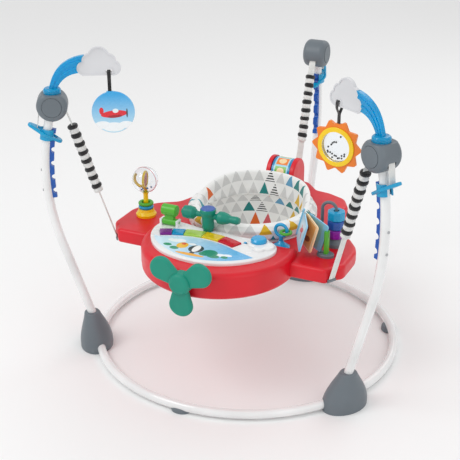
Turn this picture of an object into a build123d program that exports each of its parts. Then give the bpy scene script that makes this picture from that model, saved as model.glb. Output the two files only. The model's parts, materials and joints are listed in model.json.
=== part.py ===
"""Baby activity jumper: a ring stand with three bowed legs carries a tray of toys and a seat on springs.

Everything is drawn about the middle of the base ring, front towards -Y, floor at z = 0, in millimetres.
`save` then moves each finished piece along Y so that the frame's origin is under the middle of the whole.
"""
from build123d import *
import os
from math import asin, cos, degrees, hypot, radians, sin, sqrt, tan

os.makedirs("parts", exist_ok=True)

# ---- Driving dimensions -------------------------------------------------------------------------
RING_Y = -73.54                     # middle of the base ring in the finished frame

TUBE_R = 12.5                       # steel tube, 25 mm outside
TUBE_WALL = 1.2
FIT = 0.1                           # clearance of a fixed piece round a tube
RUN = 0.05                          # clearance of a pin that turns in its hole

RING_R = 440.0                      # base ring centre line
RING_Z = 17.0
LEGS = {"left": 210.0, "right": 330.0, "back": 90.0}
FOOT_GRIP = 3.5                     # degrees between a foot's middle and a ring tube's end
FOOT_SECTIONS = (                   # height, radial place, depth and width of the dome
    (0, 451, 96, 138),
    (34, 452, 92, 132),
    (76, 456, 66, 88),
    (109, 461, 44, 46),
)

BOW_R = 700.0                       # legs bow outwards on one arc, above a straight lean
BOW_Z = 545.0
BOW_OUT = 563.0
LEAN = 17.0
LEG_BOTTOM = 40.0
LEG_TOP = 736.0

BALL_Z = 748.0                      # strap housing
BALL_R = 42.0
BALL_HALF_WIDTH = 35.0
CAP_R = 27.0
ARM_SEAT_Z = 780.0                  # flat on a housing that carries a toy arm

TRACK_LOW, TRACK_HIGH = 477.0, 682.0
NOTCH_PITCH = 43.0
COLLAR_Z = 665.0
COLLAR_TILT = 32.0

STRAP_W = 20.0
STRAP_T = 1.6
STRAP_FOOT = (377.0, 352.0)         # radial place and height of a strap's fixing on the tray
SLEEVE_TOP, SLEEVE_BOTTOM = 690.0, 490.0
STRAP_LEAN = 0.316                  # outward run of the strap per unit of height

BANDS = 8                           # ribs along one sleeve
PIN_R = 6.1                         # hole of a pin that turns the strap inside a housing

ARM_SIDES = {"left": 210.0, "right": 330.0}
CLOUD_T = 10.0
CLOUD_LOBES = (                     # radial place, height and radius of a cloud's lobes
    (442, 846, 20),
    (427, 866, 21),
    (403, 874, 30),
    (378, 863, 22),
    (364, 845, 20),
)
SLOT_R, SLOT_Z = 377.0, 837.0       # slot in a cloud that a toy hangs from
HANG_Z = 781.0
DISC_R = 58.5
DISC_SHIFT = 7.0
SUN_R, SUN_VALLEY = 71.0, 55.0      # petal tips and the valleys between them
SUN_RING = 51.0
SUN_WINDOW = 39.0
SUN_Z = 720.0
SUN_SHIFT = 4.0                     # the sun hangs this much nearer the middle than its strap
SUN_TWIST = 20.0                    # turned on its strap, from above
PETALS = 10

WING_SIDE = [                       # right half of the tray's outline, front to back, and corner radii
    (313.5, -205, 12),
    (331, -175, 4),
    (350, -162, 30),
    (350, -60, 60),
    (338, -28, 80),
    (305, 18, 80),
    (250, 55, 40),
    (206, 174, 20),
    (226, 200, 30),
    (228, 228, 30),
    (200, 280, 40),
    (143, 306, 60),
    (98, 312, 25),
    (56, 360, 30),
    (14, 374, 30),
]
WING_TOP, TRAY_SPLIT, WING_BOTTOM = 381.0, 352.0, 339.0
NOSE_TOP, NOSE_BOTTOM = 400.0, 326.0
NOSE_Y, NOSE_R = -188.0, 215.0
SHELL = 4.0
NOSE_SHELL = 8.0
NOSE_BACK = -146.0

SEAT_Y = 35.0
SEAT_HOLE_R = 178.0
SEAT_CLEAR_R = 190.0
SEAT_RING_R = 185.0
SLING_OUTER = [(149.5, 386.5), (150, 340), (128, 260), (80, 205), (0, 190)]
SLING_INNER = [(0, 194), (78, 209), (124, 262), (146, 341), (145.5, 386.5)]
LEG_HOLE = (62.0, 262.0)            # sideways place and height of a leg hole's middle
LEG_HOLE_SIZE = (44.0, 50.0)

CONSOLE_TOP = 409.0
CONSOLE_EDGE = [                    # outline of the console, from its left end round the front
    (-197, -200),
    (-174, -262),
    (-108, -326),
    (-40, -346),
    (32, -345),
    (103, -314),
    (146, -272),
    (172, -218),
    (164, -178),
    (128, -152),
    (70, -158),
    (0, -155),
    (-70, -152),
    (-130, -140),
    (-184, -150),
]
PANEL_EDGE = [                      # front edge of the picture panel, left to right
    (-171, -246),
    (-160, -264),
    (-104, -309),
    (-48, -332),
    (34, -331),
    (92, -306),
    (136, -268),
]
PANEL_BACK = (62, 59)               # bearing where the panel's back edge starts, and its arc
KEY_CENTRE = (-39.0, -444.0)
KEY_IN, KEY_OUT = 231.0, 264.5
KEY_EDGES = {                       # bearings of each key's two sides, degrees
    "red": (65, 78),
    "yellow": (78, 91),
    "lime": (91, 104),
    "blue": (104, 112),
    "purple": (112, 120),
}
KEY_TRAVEL = 2.0
YOKE_AT = (-47.0, -162.5)
YOKE_Z = 455.0
BUTTON_AT = (115.0, -185.0)
SWITCH_AT = (82.0, -193.0)
LEVER_AT = (-160.0, -172.0)
LEVER_Z = 420.0

PROP_Z = 378.0
DRUM_Y, DRUM_Z = 285.0, 432.0
DRUM_R, CHEEK_R = 46.5, 50.0

SPINNER_AT = (-287.0, -83.0)
BALL_MID, BALL_OUT = 492.0, 38.0
LOOP_AT = (153.0, -120.0)
STACK_AT = (283.0, -45.0)
ARCH_GAP = 40.0
ARCH_Z = 484.0
STACK_RISE = {"purple": 405.0, "navy": 431.2, "cyan": 457.4}
BOOK_TOP = (205.0, -85.0, 490.0)
BOOK_TILT = 14.7
LEAF_TURNS = {"back": -23.0, "middle": -44.0, "cover": -63.0}
LEAF_LONG, LEAF_TALL = 95.0, 82.0
LEAF_START = 20.0                   # board begins this far from the binding; a thin web joins it
LEAF_HALF = 1.7
WEB_HALF = 0.4


# ---- Helpers ------------------------------------------------------------------------------------
def save(piece, label):
    """Name a finished piece, move it to the frame's origin and write it."""
    piece.part.position += (0, RING_Y, 0)
    piece.part.label = label
    export_step(piece.part, f"parts/{label}.step")


def radial_plane(angle, across=0.0):
    """Upright plane through the ring's axis: local x runs outwards and local y up."""
    out = (cos(radians(angle)), sin(radians(angle)), 0)
    side = (out[1], -out[0], 0)
    return Plane(origin=(side[0] * across, side[1] * across, 0), x_dir=out, z_dir=side)


def upright(x, y):
    """Upright plane that faces the front: local x runs along +X and local y up."""
    return Plane(origin=(x, y, 0), x_dir=(1, 0, 0), z_dir=(0, -1, 0))


def level(z, x=0.0, y=0.0):
    """Flat plane at height z."""
    return Plane(origin=(x, y, z), x_dir=(1, 0, 0), z_dir=(0, 0, 1))


def sideways(x, y=0.0, z=0.0):
    """Upright plane that faces right: local x runs along +Y and local y up."""
    return Plane(origin=(x, y, z), x_dir=(0, 1, 0), z_dir=(1, 0, 0))


def turn_profile(points, x, y, mode=Mode.ADD):
    """Turn an outline of (radius, height) points about the upright line through x, y."""
    with BuildSketch(upright(x, y)) as profile:
        with BuildLine():
            Polyline(*points, close=True)
        make_face()
    revolve(profile.sketch, axis=Axis((x, y, 0), (0, 0, 1)), mode=mode)


def bow_at(z, offset=0.0):
    """Radius of the leg's centre line at height z, moved out by offset across the bow."""
    return BOW_OUT - BOW_R + sqrt((BOW_R + offset) ** 2 - (z - BOW_Z) ** 2)


def bow_angle(z):
    return degrees(asin((z - BOW_Z) / BOW_R))


def leg_solid(angle, radius, mode=Mode.ADD):
    """Rod along a leg's centre line: a straight lean, then the bow."""
    middle = (BOW_OUT - BOW_R, BOW_Z)
    join = (middle[0] + BOW_R * cos(radians(LEAN)), BOW_Z - BOW_R * sin(radians(LEAN)))
    low = (join[0] - (join[1] - LEG_BOTTOM) * tan(radians(LEAN)), LEG_BOTTOM)
    plane = radial_plane(angle)
    with BuildLine(plane) as path:
        Line(low, join)
        CenterArc(middle, BOW_R, -LEAN, LEAN + bow_angle(LEG_TOP))
    with BuildSketch(Plane(path.line @ 0, z_dir=path.line % 0)) as section:
        Circle(radius)
    sweep(section.sketch, path=path.line, mode=mode)


def strap_route():
    """Webbing route in a leg's plane: from the sleeve over the housing's two pins to the adjuster."""
    inner = 506.2
    over = 757.0
    start = (inner - STRAP_LEAN * (over - SLEEVE_TOP), SLEEVE_TOP + 2)
    return FilletPolyline(start, (inner, over), (567, over), (577, 688), radius=7)


# ---- Stand --------------------------------------------------------------------------------------
def ring_tube(name, start):
    """One third of the base ring, from foot to foot."""
    with BuildPart() as tube:
        with BuildSketch(radial_plane(start + FOOT_GRIP)):
            with Locations((RING_R, RING_Z)):
                Circle(TUBE_R)
                Circle(TUBE_R - TUBE_WALL, mode=Mode.SUBTRACT)
        revolve(axis=Axis.Z, revolution_arc=120 - 2 * FOOT_GRIP)
    save(tube, name)


def ring_rod(start, arc, radius):
    """Rod along part of the base ring, taken out of whatever grips it."""
    with BuildSketch(radial_plane(start)) as section:
        with Locations((RING_R, RING_Z)):
            Circle(radius)
    revolve(section.sketch, axis=Axis.Z, revolution_arc=arc, mode=Mode.SUBTRACT)


def foot_shell(angle):
    """Dome over a ring joint and a leg's root: wide along the ring, drawn in towards the top."""
    out = (cos(radians(angle)), sin(radians(angle)))
    with BuildPart() as foot:
        for z, place, deep, wide in FOOT_SECTIONS:
            with BuildSketch(Plane((out[0] * place, out[1] * place, z), x_dir=(*out, 0))):
                Ellipse(deep / 2, wide / 2)
        loft()
        fillet(foot.faces().sort_by(Axis.Z)[-1].edges(), 5)
        ring_rod(angle + FOOT_GRIP - 0.2, 18, TUBE_R + FIT)
        ring_rod(angle - FOOT_GRIP + 0.2 - 18, 18, TUBE_R + FIT)
        leg_solid(angle, TUBE_R + FIT, mode=Mode.SUBTRACT)
    return foot.part


def floor_pad(angle):
    """Low pad that holds the ring tube off the floor between two feet."""
    with BuildPart() as pad:
        with BuildSketch(Plane.XY):
            with PolarLocations(RING_R - 4, 1, start_angle=angle):
                Ellipse(20, 27)
        extrude(amount=15)
        fillet(pad.faces().sort_by(Axis.Z)[-1].edges(), 6)
        ring_rod(angle - 6, 12, TUBE_R + FIT)
    return pad.part


for name, start in (("base_tube_left", 90), ("base_tube_front", 210), ("base_tube_right", 330)):
    ring_tube(name, start)

domes = [foot_shell(angle) for angle in LEGS.values()]
pads = [floor_pad(angle + 60) for angle in LEGS.values()]
with BuildPart() as feet:
    add(domes + pads)
save(feet, "feet")

for side, angle in LEGS.items():
    with BuildPart() as leg:
        leg_solid(angle, TUBE_R)
        leg_solid(angle, TUBE_R - TUBE_WALL, mode=Mode.SUBTRACT)
    save(leg, f"leg_{side}")

BALL_AT = bow_at(BALL_Z)
with BuildLine() as route:
    strap_route()
pin_places = [bend.arc_center for bend in route.edges().filter_by(GeomType.CIRCLE)]

for name, angle in LEGS.items():
    plane = radial_plane(angle)
    with BuildPart() as housing:
        with BuildSketch(plane):
            with Locations((BALL_AT, BALL_Z)):
                Circle(BALL_R)
        extrude(amount=BALL_HALF_WIDTH, both=True)
        fillet(housing.edges().filter_by(GeomType.CIRCLE), 15)
        for face in (-1, 1):
            with BuildSketch(radial_plane(angle, face * BALL_HALF_WIDTH)):
                with Locations((BALL_AT, BALL_Z)):
                    Circle(CAP_R)
            extrude(amount=-face * 3, mode=Mode.SUBTRACT)
        with BuildSketch(plane):
            with BuildLine():
                strap_route()
            trace(line_width=8)
        extrude(amount=STRAP_W / 2 + 2, both=True, mode=Mode.SUBTRACT)
        with BuildSketch(plane):
            with Locations(*pin_places):
                Circle(PIN_R)
        extrude(amount=STRAP_W / 2 + 6, both=True, mode=Mode.SUBTRACT)
        leg_solid(angle, TUBE_R + FIT, mode=Mode.SUBTRACT)
        if name != "back":
            with BuildSketch(plane):
                with Locations((BALL_AT, ARM_SEAT_Z + 20)):
                    Rectangle(120, 40)
            extrude(amount=60, both=True, mode=Mode.SUBTRACT)
    save(housing, f"housing_{name}")

with BuildPart() as caps:
    for angle in LEGS.values():
        for face in (-1, 1):
            with BuildSketch(radial_plane(angle, face * (BALL_HALF_WIDTH - 3))):
                with Locations((BALL_AT, BALL_Z)):
                    Circle(CAP_R - 0.8)
            extrude(amount=face * 4.5)
    fillet(caps.edges().filter_by(GeomType.CIRCLE), 1)
save(caps, "housing_caps")

with BuildPart() as pins:
    for angle in LEGS.values():
        with BuildSketch(radial_plane(angle)):
            with Locations(*pin_places):
                Circle(PIN_R - 0.1)
        extrude(amount=STRAP_W / 2 + 5.9, both=True)
save(pins, "strap_guide_pins")

with BuildPart() as tracks:
    notches = round((TRACK_HIGH - TRACK_LOW) / NOTCH_PITCH)
    for angle in LEGS.values():
        with BuildSketch(radial_plane(angle)):
            with BuildLine():
                low, high = bow_angle(TRACK_LOW), bow_angle(TRACK_HIGH)
                back = CenterArc((BOW_OUT - BOW_R, BOW_Z), BOW_R - 8, low, high - low)
                front = CenterArc((BOW_OUT - BOW_R, BOW_Z), BOW_R - 23, low, high - low)
                Line(back @ 0, front @ 0)
                Line(back @ 1, front @ 1)
            make_face()
            with Locations(*[front @ ((step + 0.5) / notches) for step in range(notches)]):
                Circle(9, mode=Mode.SUBTRACT)
        extrude(amount=7, both=True)
        leg_solid(angle, TUBE_R + FIT, mode=Mode.SUBTRACT)
save(tracks, "height_tracks")

with BuildPart() as screws:
    for angle in LEGS.values():
        for z in (500, 560):
            tip = Vector(bow_at(z, TUBE_R - 0.5), z)
            plane = radial_plane(angle)
            with BuildSketch(Plane(plane.from_local_coords(tip), z_dir=plane.x_dir)):
                Circle(3.6)
            extrude(amount=2.4)
        leg_solid(angle, TUBE_R + 0.05, mode=Mode.SUBTRACT)
save(screws, "track_screws")

# ---- Height adjusters: a wing-shaped collar that slides on leg and track ------------------------
for side, angle in LEGS.items():
    plane = radial_plane(angle)
    middle = plane.from_local_coords(Vector(bow_at(COLLAR_Z), COLLAR_Z))
    lean = radians(COLLAR_TILT)
    out = plane.x_dir
    along = Vector(out.X * cos(lean), out.Y * cos(lean), sin(lean))
    bow = radians(bow_angle(COLLAR_Z))
    rise = Vector(-out.X * sin(bow), -out.Y * sin(bow), cos(bow))
    wing_plane = Plane(middle, x_dir=along, z_dir=along.cross(plane.z_dir).normalized() * -1)
    leg_plane = Plane(middle, x_dir=plane.z_dir, z_dir=rise)
    with BuildPart() as adjuster:
        with BuildSketch(wing_plane):
            with Locations((6, 0)):
                Circle(25)
            with Locations((-34, 0), (46, 0)):
                Circle(12)
            make_hull()
        extrude(amount=4.5, both=True)
        fillet(adjuster.faces().filter_by(GeomType.PLANE).edges(), 3)
        with BuildSketch(leg_plane):
            with Locations((0, 0)):
                Circle(20)
        extrude(amount=15, both=True)
        with BuildSketch(leg_plane):
            Circle(TUBE_R + 2.2)
            with Locations((0, -16), (0, 16)):
                Rectangle(18, 26)
        extrude(amount=80, both=True, mode=Mode.SUBTRACT)
    save(adjuster, f"adjuster_{side}")

# ---- Suspension: webbing, spring and sleeve on each leg -----------------------------------------
def strap_point(z):
    """Radial place of the strap's centre line below the housing."""
    return STRAP_FOOT[0] + STRAP_LEAN * (z - STRAP_FOOT[1])


def strap_frame(angle, z):
    """Plane across the strap at height z, its normal up along the strap."""
    plane = radial_plane(angle)
    out = plane.x_dir
    size = hypot(STRAP_LEAN, 1)
    up = Vector(out.X * STRAP_LEAN / size, out.Y * STRAP_LEAN / size, 1 / size)
    return Plane(plane.from_local_coords(Vector(strap_point(z), z)), x_dir=plane.z_dir, z_dir=up)


SLEEVE_LONG = (SLEEVE_TOP - SLEEVE_BOTTOM) * hypot(STRAP_LEAN, 1)

with BuildPart() as straps:
    for angle in LEGS.values():
        with BuildSketch(radial_plane(angle)):
            with BuildLine():
                strap_route()
            trace(line_width=STRAP_T)
        extrude(amount=STRAP_W / 2, both=True)
save(straps, "height_straps")

with BuildPart() as sleeves:
    pitch = SLEEVE_LONG / BANDS
    for angle in LEGS.values():
        low = strap_frame(angle, SLEEVE_BOTTOM)
        side = radial_plane(angle).z_dir
        with BuildSketch(Plane(low.origin, x_dir=low.z_dir.cross(side), z_dir=side)) as profile:
            with BuildLine():
                edge = [(15, 2)]
                for band in range(BANDS):
                    edge += [(13, band * pitch + 1), (13, (band + 0.45) * pitch)]
                    edge += [(15, (band + 0.5) * pitch), (15, (band + 0.95) * pitch)]
                points = [(9.5, 0)] + edge[1:] + [(9.5, SLEEVE_LONG)]
                Polyline(*points, close=True)
            make_face()
        revolve(profile.sketch, axis=Axis(low.origin, low.z_dir))
save(sleeves, "spring_sleeves")

with BuildPart() as springs:
    for angle in LEGS.values():
        with BuildSketch(strap_frame(angle, SLEEVE_BOTTOM + 2)):
            Circle(9.2)
            Circle(7, mode=Mode.SUBTRACT)
        extrude(amount=SLEEVE_LONG - 6)
save(springs, "springs")

with BuildPart() as lower_straps:
    for angle in LEGS.values():
        with BuildSketch(strap_frame(angle, STRAP_FOOT[1])):
            Rectangle(STRAP_W, STRAP_T)
        extrude(amount=(SLEEVE_BOTTOM - STRAP_FOOT[1]) * hypot(STRAP_LEAN, 1) - 0.5)
save(lower_straps, "lower_straps")

with BuildPart() as anchors:
    for angle in LEGS.values():
        with BuildSketch(radial_plane(angle)):
            with BuildLine():
                Polyline((374.2, 351.4), (379.5, 351.4), (378, 343), (374.2, 341), close=True)
            make_face()
        extrude(amount=STRAP_W / 2 + 3, both=True)
save(anchors, "strap_anchors")

# ---- Toy arms and clouds ------------------------------------------------------------------------


def cloud_outline(grow=0.0):
    """Five round lobes over a flat base."""
    for r, z, size in CLOUD_LOBES:
        with Locations((r, z)):
            Circle(size + grow)
    with Locations((403, 843)):
        Rectangle(90, 34 + 2 * grow)


cloud_parts = []
arm_parts = []
for angle in ARM_SIDES.values():
    plane = radial_plane(angle)
    with BuildPart() as cloud:
        with BuildSketch(plane):
            cloud_outline()
            with Locations((SLOT_R, SLOT_Z + 1)):
                SlotOverall(17, 9, mode=Mode.SUBTRACT)
        extrude(amount=CLOUD_T / 2, both=True)
        for face in (-1, 1):
            with BuildSketch(radial_plane(angle, face * CLOUD_T / 2)):
                cloud_outline(-4)
                with Locations((SLOT_R, SLOT_Z + 1)):
                    SlotOverall(25, 17, mode=Mode.SUBTRACT)
                with Locations((SLOT_R, SLOT_Z - 10)):
                    Rectangle(25, 20, mode=Mode.SUBTRACT)
            extrude(amount=-face * 1.5, mode=Mode.SUBTRACT)
    cloud_parts.append(cloud.part)
    with BuildPart() as arm:
        with BuildSketch(Plane(plane.from_local_coords(Vector(BALL_AT - 2, ARM_SEAT_Z)))):
            Circle(24)
        extrude(amount=15)
        fillet(arm.faces().sort_by(Axis.Z)[-1].edges(), 7)
        with BuildSketch(plane):
            with BuildLine():
                top = Spline((539, 792), (530, 820), (511, 850), (486, 869), (440, 882))
                low = Spline((517, 792), (504, 812), (488, 825), (466, 833), (440, 834))
                Line(top @ 0, low @ 0)
                Line(top @ 1, low @ 1)
            make_face()
        extrude(amount=6, both=True)
        for inset in (0.3, 0.66):
            with BuildSketch(plane):
                with BuildLine():
                    Spline(*[low @ t * inset + top @ t * (1 - inset) for t in (0, 0.25, 0.5, 0.75, 1)])
                trace(line_width=5)
            extrude(amount=8, both=True)
        with BuildSketch(plane):
            cloud_outline(0.05)
        extrude(amount=20, both=True, mode=Mode.SUBTRACT)
        keep = arm.solids().sort_by(SortBy.VOLUME)[-1]
    arm_parts.append(keep)

with BuildPart() as clouds:
    add(cloud_parts)
save(clouds, "clouds")

with BuildPart() as arms:
    add(arm_parts)
save(arms, "rainbow_arms")


# ---- Hanging toys -------------------------------------------------------------------------------
def hanging_strap(angle):
    """Loop of webbing through a cloud's slot, closing to a single web that holds the toy."""
    across = Plane(radial_plane(angle).from_local_coords(Vector(SLOT_R, 0)),
                   x_dir=radial_plane(angle).z_dir, z_dir=radial_plane(angle).x_dir * -1)
    with BuildPart() as strap:
        with BuildSketch(across):
            with BuildLine():
                Polyline((-9.5, SLOT_Z), (-9.5, 822), (-1.5, 806), (-1.5, HANG_Z))
                Polyline((-1.5, HANG_Z), (1.5, HANG_Z), (1.5, 806), (9.5, 822), (9.5, SLOT_Z))
                ThreePointArc((9.5, SLOT_Z), (0, SLOT_Z + 2.6), (-9.5, SLOT_Z))
            make_face()
            with BuildLine():
                Polyline((-8.3, SLOT_Z - 1), (-8.3, 822.4), (0, 806.4), (8.3, 822.4), (8.3, SLOT_Z - 1))
                ThreePointArc((8.3, SLOT_Z - 1), (0, SLOT_Z + 1.2), (-8.3, SLOT_Z - 1))
            make_face(mode=Mode.SUBTRACT)
        extrude(amount=5, both=True)
    return strap


DISC_Z = HANG_Z - 1 - DISC_R
save(hanging_strap(ARM_SIDES["left"]), "disc_strap")
save(hanging_strap(ARM_SIDES["right"]), "sun_strap")

with BuildPart() as disc:
    with BuildSketch(radial_plane(ARM_SIDES["left"])):
        with Locations((SLOT_R - DISC_SHIFT, DISC_Z)):
            Circle(DISC_R)
        with Locations((SLOT_R, HANG_Z - 4)):
            Rectangle(18, 7.6)
    extrude(amount=3.5, both=True)
    fillet(disc.faces().filter_by(GeomType.PLANE).edges().filter_by(GeomType.CIRCLE), 1.5)
save(disc, "toy_disc")

STRAP_SPOT = radial_plane(ARM_SIDES["right"]).from_local_coords(Vector(SLOT_R, 0))
SUN_SPOT = radial_plane(ARM_SIDES["right"]).from_local_coords(Vector(SLOT_R - SUN_SHIFT, 0))


def sun_plane(out=0.0):
    """Upright plane of the sun, moved out along its face."""
    turn = radians(ARM_SIDES["right"] + SUN_TWIST)
    side = Vector(sin(turn), -cos(turn), 0)
    return Plane(SUN_SPOT + side * out, x_dir=(cos(turn), sin(turn), 0), z_dir=side)


strap_x = sun_plane().to_local_coords(STRAP_SPOT).X
with BuildPart() as petals:
    with BuildSketch(sun_plane()) as star:
        with BuildLine():
            tips = []
            for step in range(2 * PETALS):
                reach = SUN_R if step % 2 else SUN_VALLEY
                turn = radians(90 + step * 180 / PETALS)
                tips.append((reach * cos(turn), SUN_Z + reach * sin(turn)))
            Polyline(*tips, close=True)
        make_face()
        fillet(star.vertices(), 5)
        with Locations((strap_x, HANG_Z - 6)):
            Rectangle(16, 11.6)
        with Locations((strap_x, HANG_Z + 9.9)):
            Rectangle(15, 20, mode=Mode.SUBTRACT)
    extrude(amount=4, both=True)
    with BuildSketch(sun_plane()):
        with Locations((0, SUN_Z)):
            Circle(SUN_WINDOW + 4)
    extrude(amount=10, both=True, mode=Mode.SUBTRACT)
save(petals, "sun_petals")

with BuildPart() as sun_ring:
    with BuildSketch(sun_plane()):
        with Locations((0, SUN_Z)):
            Circle(SUN_WINDOW + 4)
            Circle(SUN_WINDOW, mode=Mode.SUBTRACT)
    extrude(amount=7, both=True)
    for face in (-1, 1):
        with BuildSketch(sun_plane(face * 4)):
            with Locations((0, SUN_Z)):
                Circle(SUN_RING)
                Circle(SUN_WINDOW, mode=Mode.SUBTRACT)
        extrude(amount=face * 3)
    rims = sun_ring.edges().filter_by(GeomType.CIRCLE)
    fillet([edge for edge in rims if edge.radius > SUN_RING - 1], 1.2)
save(sun_ring, "sun_ring")

with BuildPart() as window:
    for face in (-1, 1):
        with BuildSketch(sun_plane(face * 4.5)):
            with Locations((0, SUN_Z)):
                Circle(SUN_WINDOW - 0.1)
        extrude(amount=face * 2)
save(window, "sun_window")

# ---- Tray: top shell with nose, wings and tail, and a bottom pan --------------------------------


def tray_layer(low, high, inset):
    """A slab of the wing outline between two heights."""
    corners = WING_SIDE + [(-x, y, bend) for x, y, bend in reversed(WING_SIDE)]
    with BuildSketch(level(low)) as outline:
        with BuildLine():
            Polyline(*[(x, y) for x, y, _ in corners], close=True)
        make_face()
        for x, y, bend in corners:
            fillet(outline.vertices().sort_by_distance((x, y, low))[0], bend)
        if inset:
            offset(amount=-inset, kind=Kind.INTERSECTION)
    with BuildPart() as slab:
        extrude(outline.sketch, amount=high - low)
    return slab


def nose_slab(low, high, radius, back):
    """A round slab under the console, cut straight behind."""
    with BuildPart() as slab:
        with BuildSketch(level(low)):
            with Locations((0, NOSE_Y)):
                Circle(radius)
            with Locations((0, back + 200)):
                Rectangle(500, 400, mode=Mode.SUBTRACT)
        extrude(amount=high - low)
    return slab


def top_edges(slab):
    return slab.faces().sort_by(Axis.Z)[-1].edges()


def bottom_edges(slab):
    return slab.faces().sort_by(Axis.Z)[0].edges()


with BuildPart() as wings_top:
    add(tray_layer(TRAY_SPLIT, WING_TOP, 0).part)
    fillet(top_edges(wings_top), 10)
with BuildPart() as nose_top:
    add(nose_slab(TRAY_SPLIT, NOSE_TOP, NOSE_R, NOSE_BACK).part)
    fillet(top_edges(nose_top), 14)
wing_hollow = tray_layer(TRAY_SPLIT, WING_TOP - SHELL, SHELL).part
nose_hollow = nose_slab(TRAY_SPLIT, NOSE_TOP - NOSE_SHELL, NOSE_R - NOSE_SHELL, NOSE_BACK - SHELL).part

with BuildPart() as seat_well:
    with BuildSketch(level(WING_BOTTOM - 5, 0, SEAT_Y)):
        Circle(SEAT_HOLE_R + SHELL)
    extrude(amount=WING_TOP - WING_BOTTOM + 5)
with BuildPart() as seat_hole:
    with BuildSketch(level(NOSE_BOTTOM - 5, 0, SEAT_Y)):
        Circle(SEAT_HOLE_R)
    extrude(amount=NOSE_TOP + 40 - NOSE_BOTTOM)
with BuildPart() as swivel_room:
    with BuildSketch(level(WING_TOP + 0.5, 0, SEAT_Y)):
        Circle(SEAT_CLEAR_R)
    extrude(amount=80)

with BuildPart() as tray_top:
    add(wings_top.part)
    add(nose_top.part)
    add(wing_hollow, mode=Mode.SUBTRACT)
    add(nose_hollow, mode=Mode.SUBTRACT)
    with BuildSketch(level(TRAY_SPLIT, 0, SEAT_Y)):
        Circle(SEAT_HOLE_R + SHELL)
        Circle(SEAT_HOLE_R, mode=Mode.SUBTRACT)
    extrude(amount=WING_TOP - TRAY_SPLIT - 2)
    add(seat_hole.part, mode=Mode.SUBTRACT)
    add(swivel_room.part, mode=Mode.SUBTRACT)
    for face in (-1, 1):
        with BuildSketch(sideways(face * 32, DRUM_Y)):
            with Locations((0, DRUM_Z)):
                Circle(CHEEK_R)
            with Locations((8, (DRUM_Z + WING_TOP - 3) / 2)):
                Rectangle(84, DRUM_Z - WING_TOP + 3)
        extrude(amount=face * 14)
    cheeks = [face for face in tray_top.faces().filter_by(Axis.X) if abs(abs(face.center().X) - 46) < 0.5]
    fillet([edge for face in cheeks for edge in face.edges() if edge.center().Z > WING_TOP + 12], 5)
    with BuildSketch(sideways(-38, DRUM_Y, DRUM_Z)):
        Circle(5 + RUN)
    extrude(amount=76, mode=Mode.SUBTRACT)
    with BuildSketch(Plane(origin=(0, NOSE_Y - NOSE_R - 1, PROP_Z), x_dir=(1, 0, 0), z_dir=(0, 1, 0))):
        Circle(5 + RUN)
    extrude(amount=12, mode=Mode.SUBTRACT)
save(tray_top, "tray_top")

with BuildPart() as wings_low:
    add(tray_layer(WING_BOTTOM, TRAY_SPLIT, 1.0).part)
    fillet(bottom_edges(wings_low), 7)
with BuildPart() as nose_low:
    add(nose_slab(NOSE_BOTTOM, TRAY_SPLIT, NOSE_R - 1, -60).part)
    fillet(bottom_edges(nose_low), 14)
nose_cavity = nose_slab(NOSE_BOTTOM + NOSE_SHELL, TRAY_SPLIT, NOSE_R - NOSE_SHELL - 1, -66).part
with BuildPart() as tray_bottom:
    add(wings_low.part)
    add(nose_low.part)
    add(tray_layer(WING_BOTTOM + SHELL, TRAY_SPLIT, SHELL + 1).part, mode=Mode.SUBTRACT)
    add(nose_cavity, mode=Mode.SUBTRACT)
    with BuildSketch(level(WING_BOTTOM, 0, SEAT_Y)):
        Circle(SEAT_HOLE_R + SHELL)
    extrude(amount=TRAY_SPLIT - WING_BOTTOM)
    add(seat_hole.part, mode=Mode.SUBTRACT)
    with BuildSketch(level(NOSE_BOTTOM - 1, 0, SEAT_Y)):
        Circle(SEAT_HOLE_R + SHELL)
    extrude(amount=WING_BOTTOM - NOSE_BOTTOM + 1, mode=Mode.SUBTRACT)
save(tray_bottom, "tray_bottom")

with BuildPart() as drum:
    with BuildSketch(sideways(-30.5, DRUM_Y, DRUM_Z)):
        Circle(DRUM_R)
    extrude(amount=61)
    fillet(drum.edges(), 2)
    with BuildSketch(sideways(-37.5, DRUM_Y, DRUM_Z)):
        Circle(5)
    extrude(amount=75)
    with BuildSketch(sideways(-31, DRUM_Y, DRUM_Z)):
        Circle(DRUM_R - 4)
        Circle(8, mode=Mode.SUBTRACT)
    extrude(amount=14, mode=Mode.SUBTRACT)
save(drum, "tail_drum")

# ---- Propeller ----------------------------------------------------------------------------------
PROP_FACE = NOSE_Y - NOSE_R - 3
with BuildPart() as blade:
    with BuildSketch(Plane.XY.offset(6)):
        with Locations((20, 0)):
            Circle(20)
        with Locations((64, 0)):
            Ellipse(31, 33)
        make_hull()
    extrude(amount=18)
    fillet(blade.faces().filter_by(Axis.Z).edges(), 7)
with BuildPart(Plane(origin=(0, PROP_FACE, PROP_Z), x_dir=(1, 0, 0), z_dir=(0, -1, 0))) as propeller:
    Cylinder(30, 34, align=(Align.CENTER, Align.CENTER, Align.MIN))
    fillet(propeller.faces().sort_by(Axis.Y)[0].edges(), 12)
    with PolarLocations(0, 3, start_angle=30):
        add(blade.part)
    with Locations((0, 0, -10)):
        Cylinder(5, 12, align=(Align.CENTER, Align.CENTER, Align.MIN))
save(propeller, "propeller")

# ---- Console, keys and controls -----------------------------------------------------------------


def key_band(inner, outer, start, stop):
    """Part of a ring about the keys' centre, between two angles."""
    with BuildLine() as band:
        low = CenterArc(KEY_CENTRE, inner, start, stop - start)
        high = CenterArc(KEY_CENTRE, outer, start, stop - start)
        Line(low @ 0, high @ 0)
        Line(low @ 1, high @ 1)
    make_face(band.edges())


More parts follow.
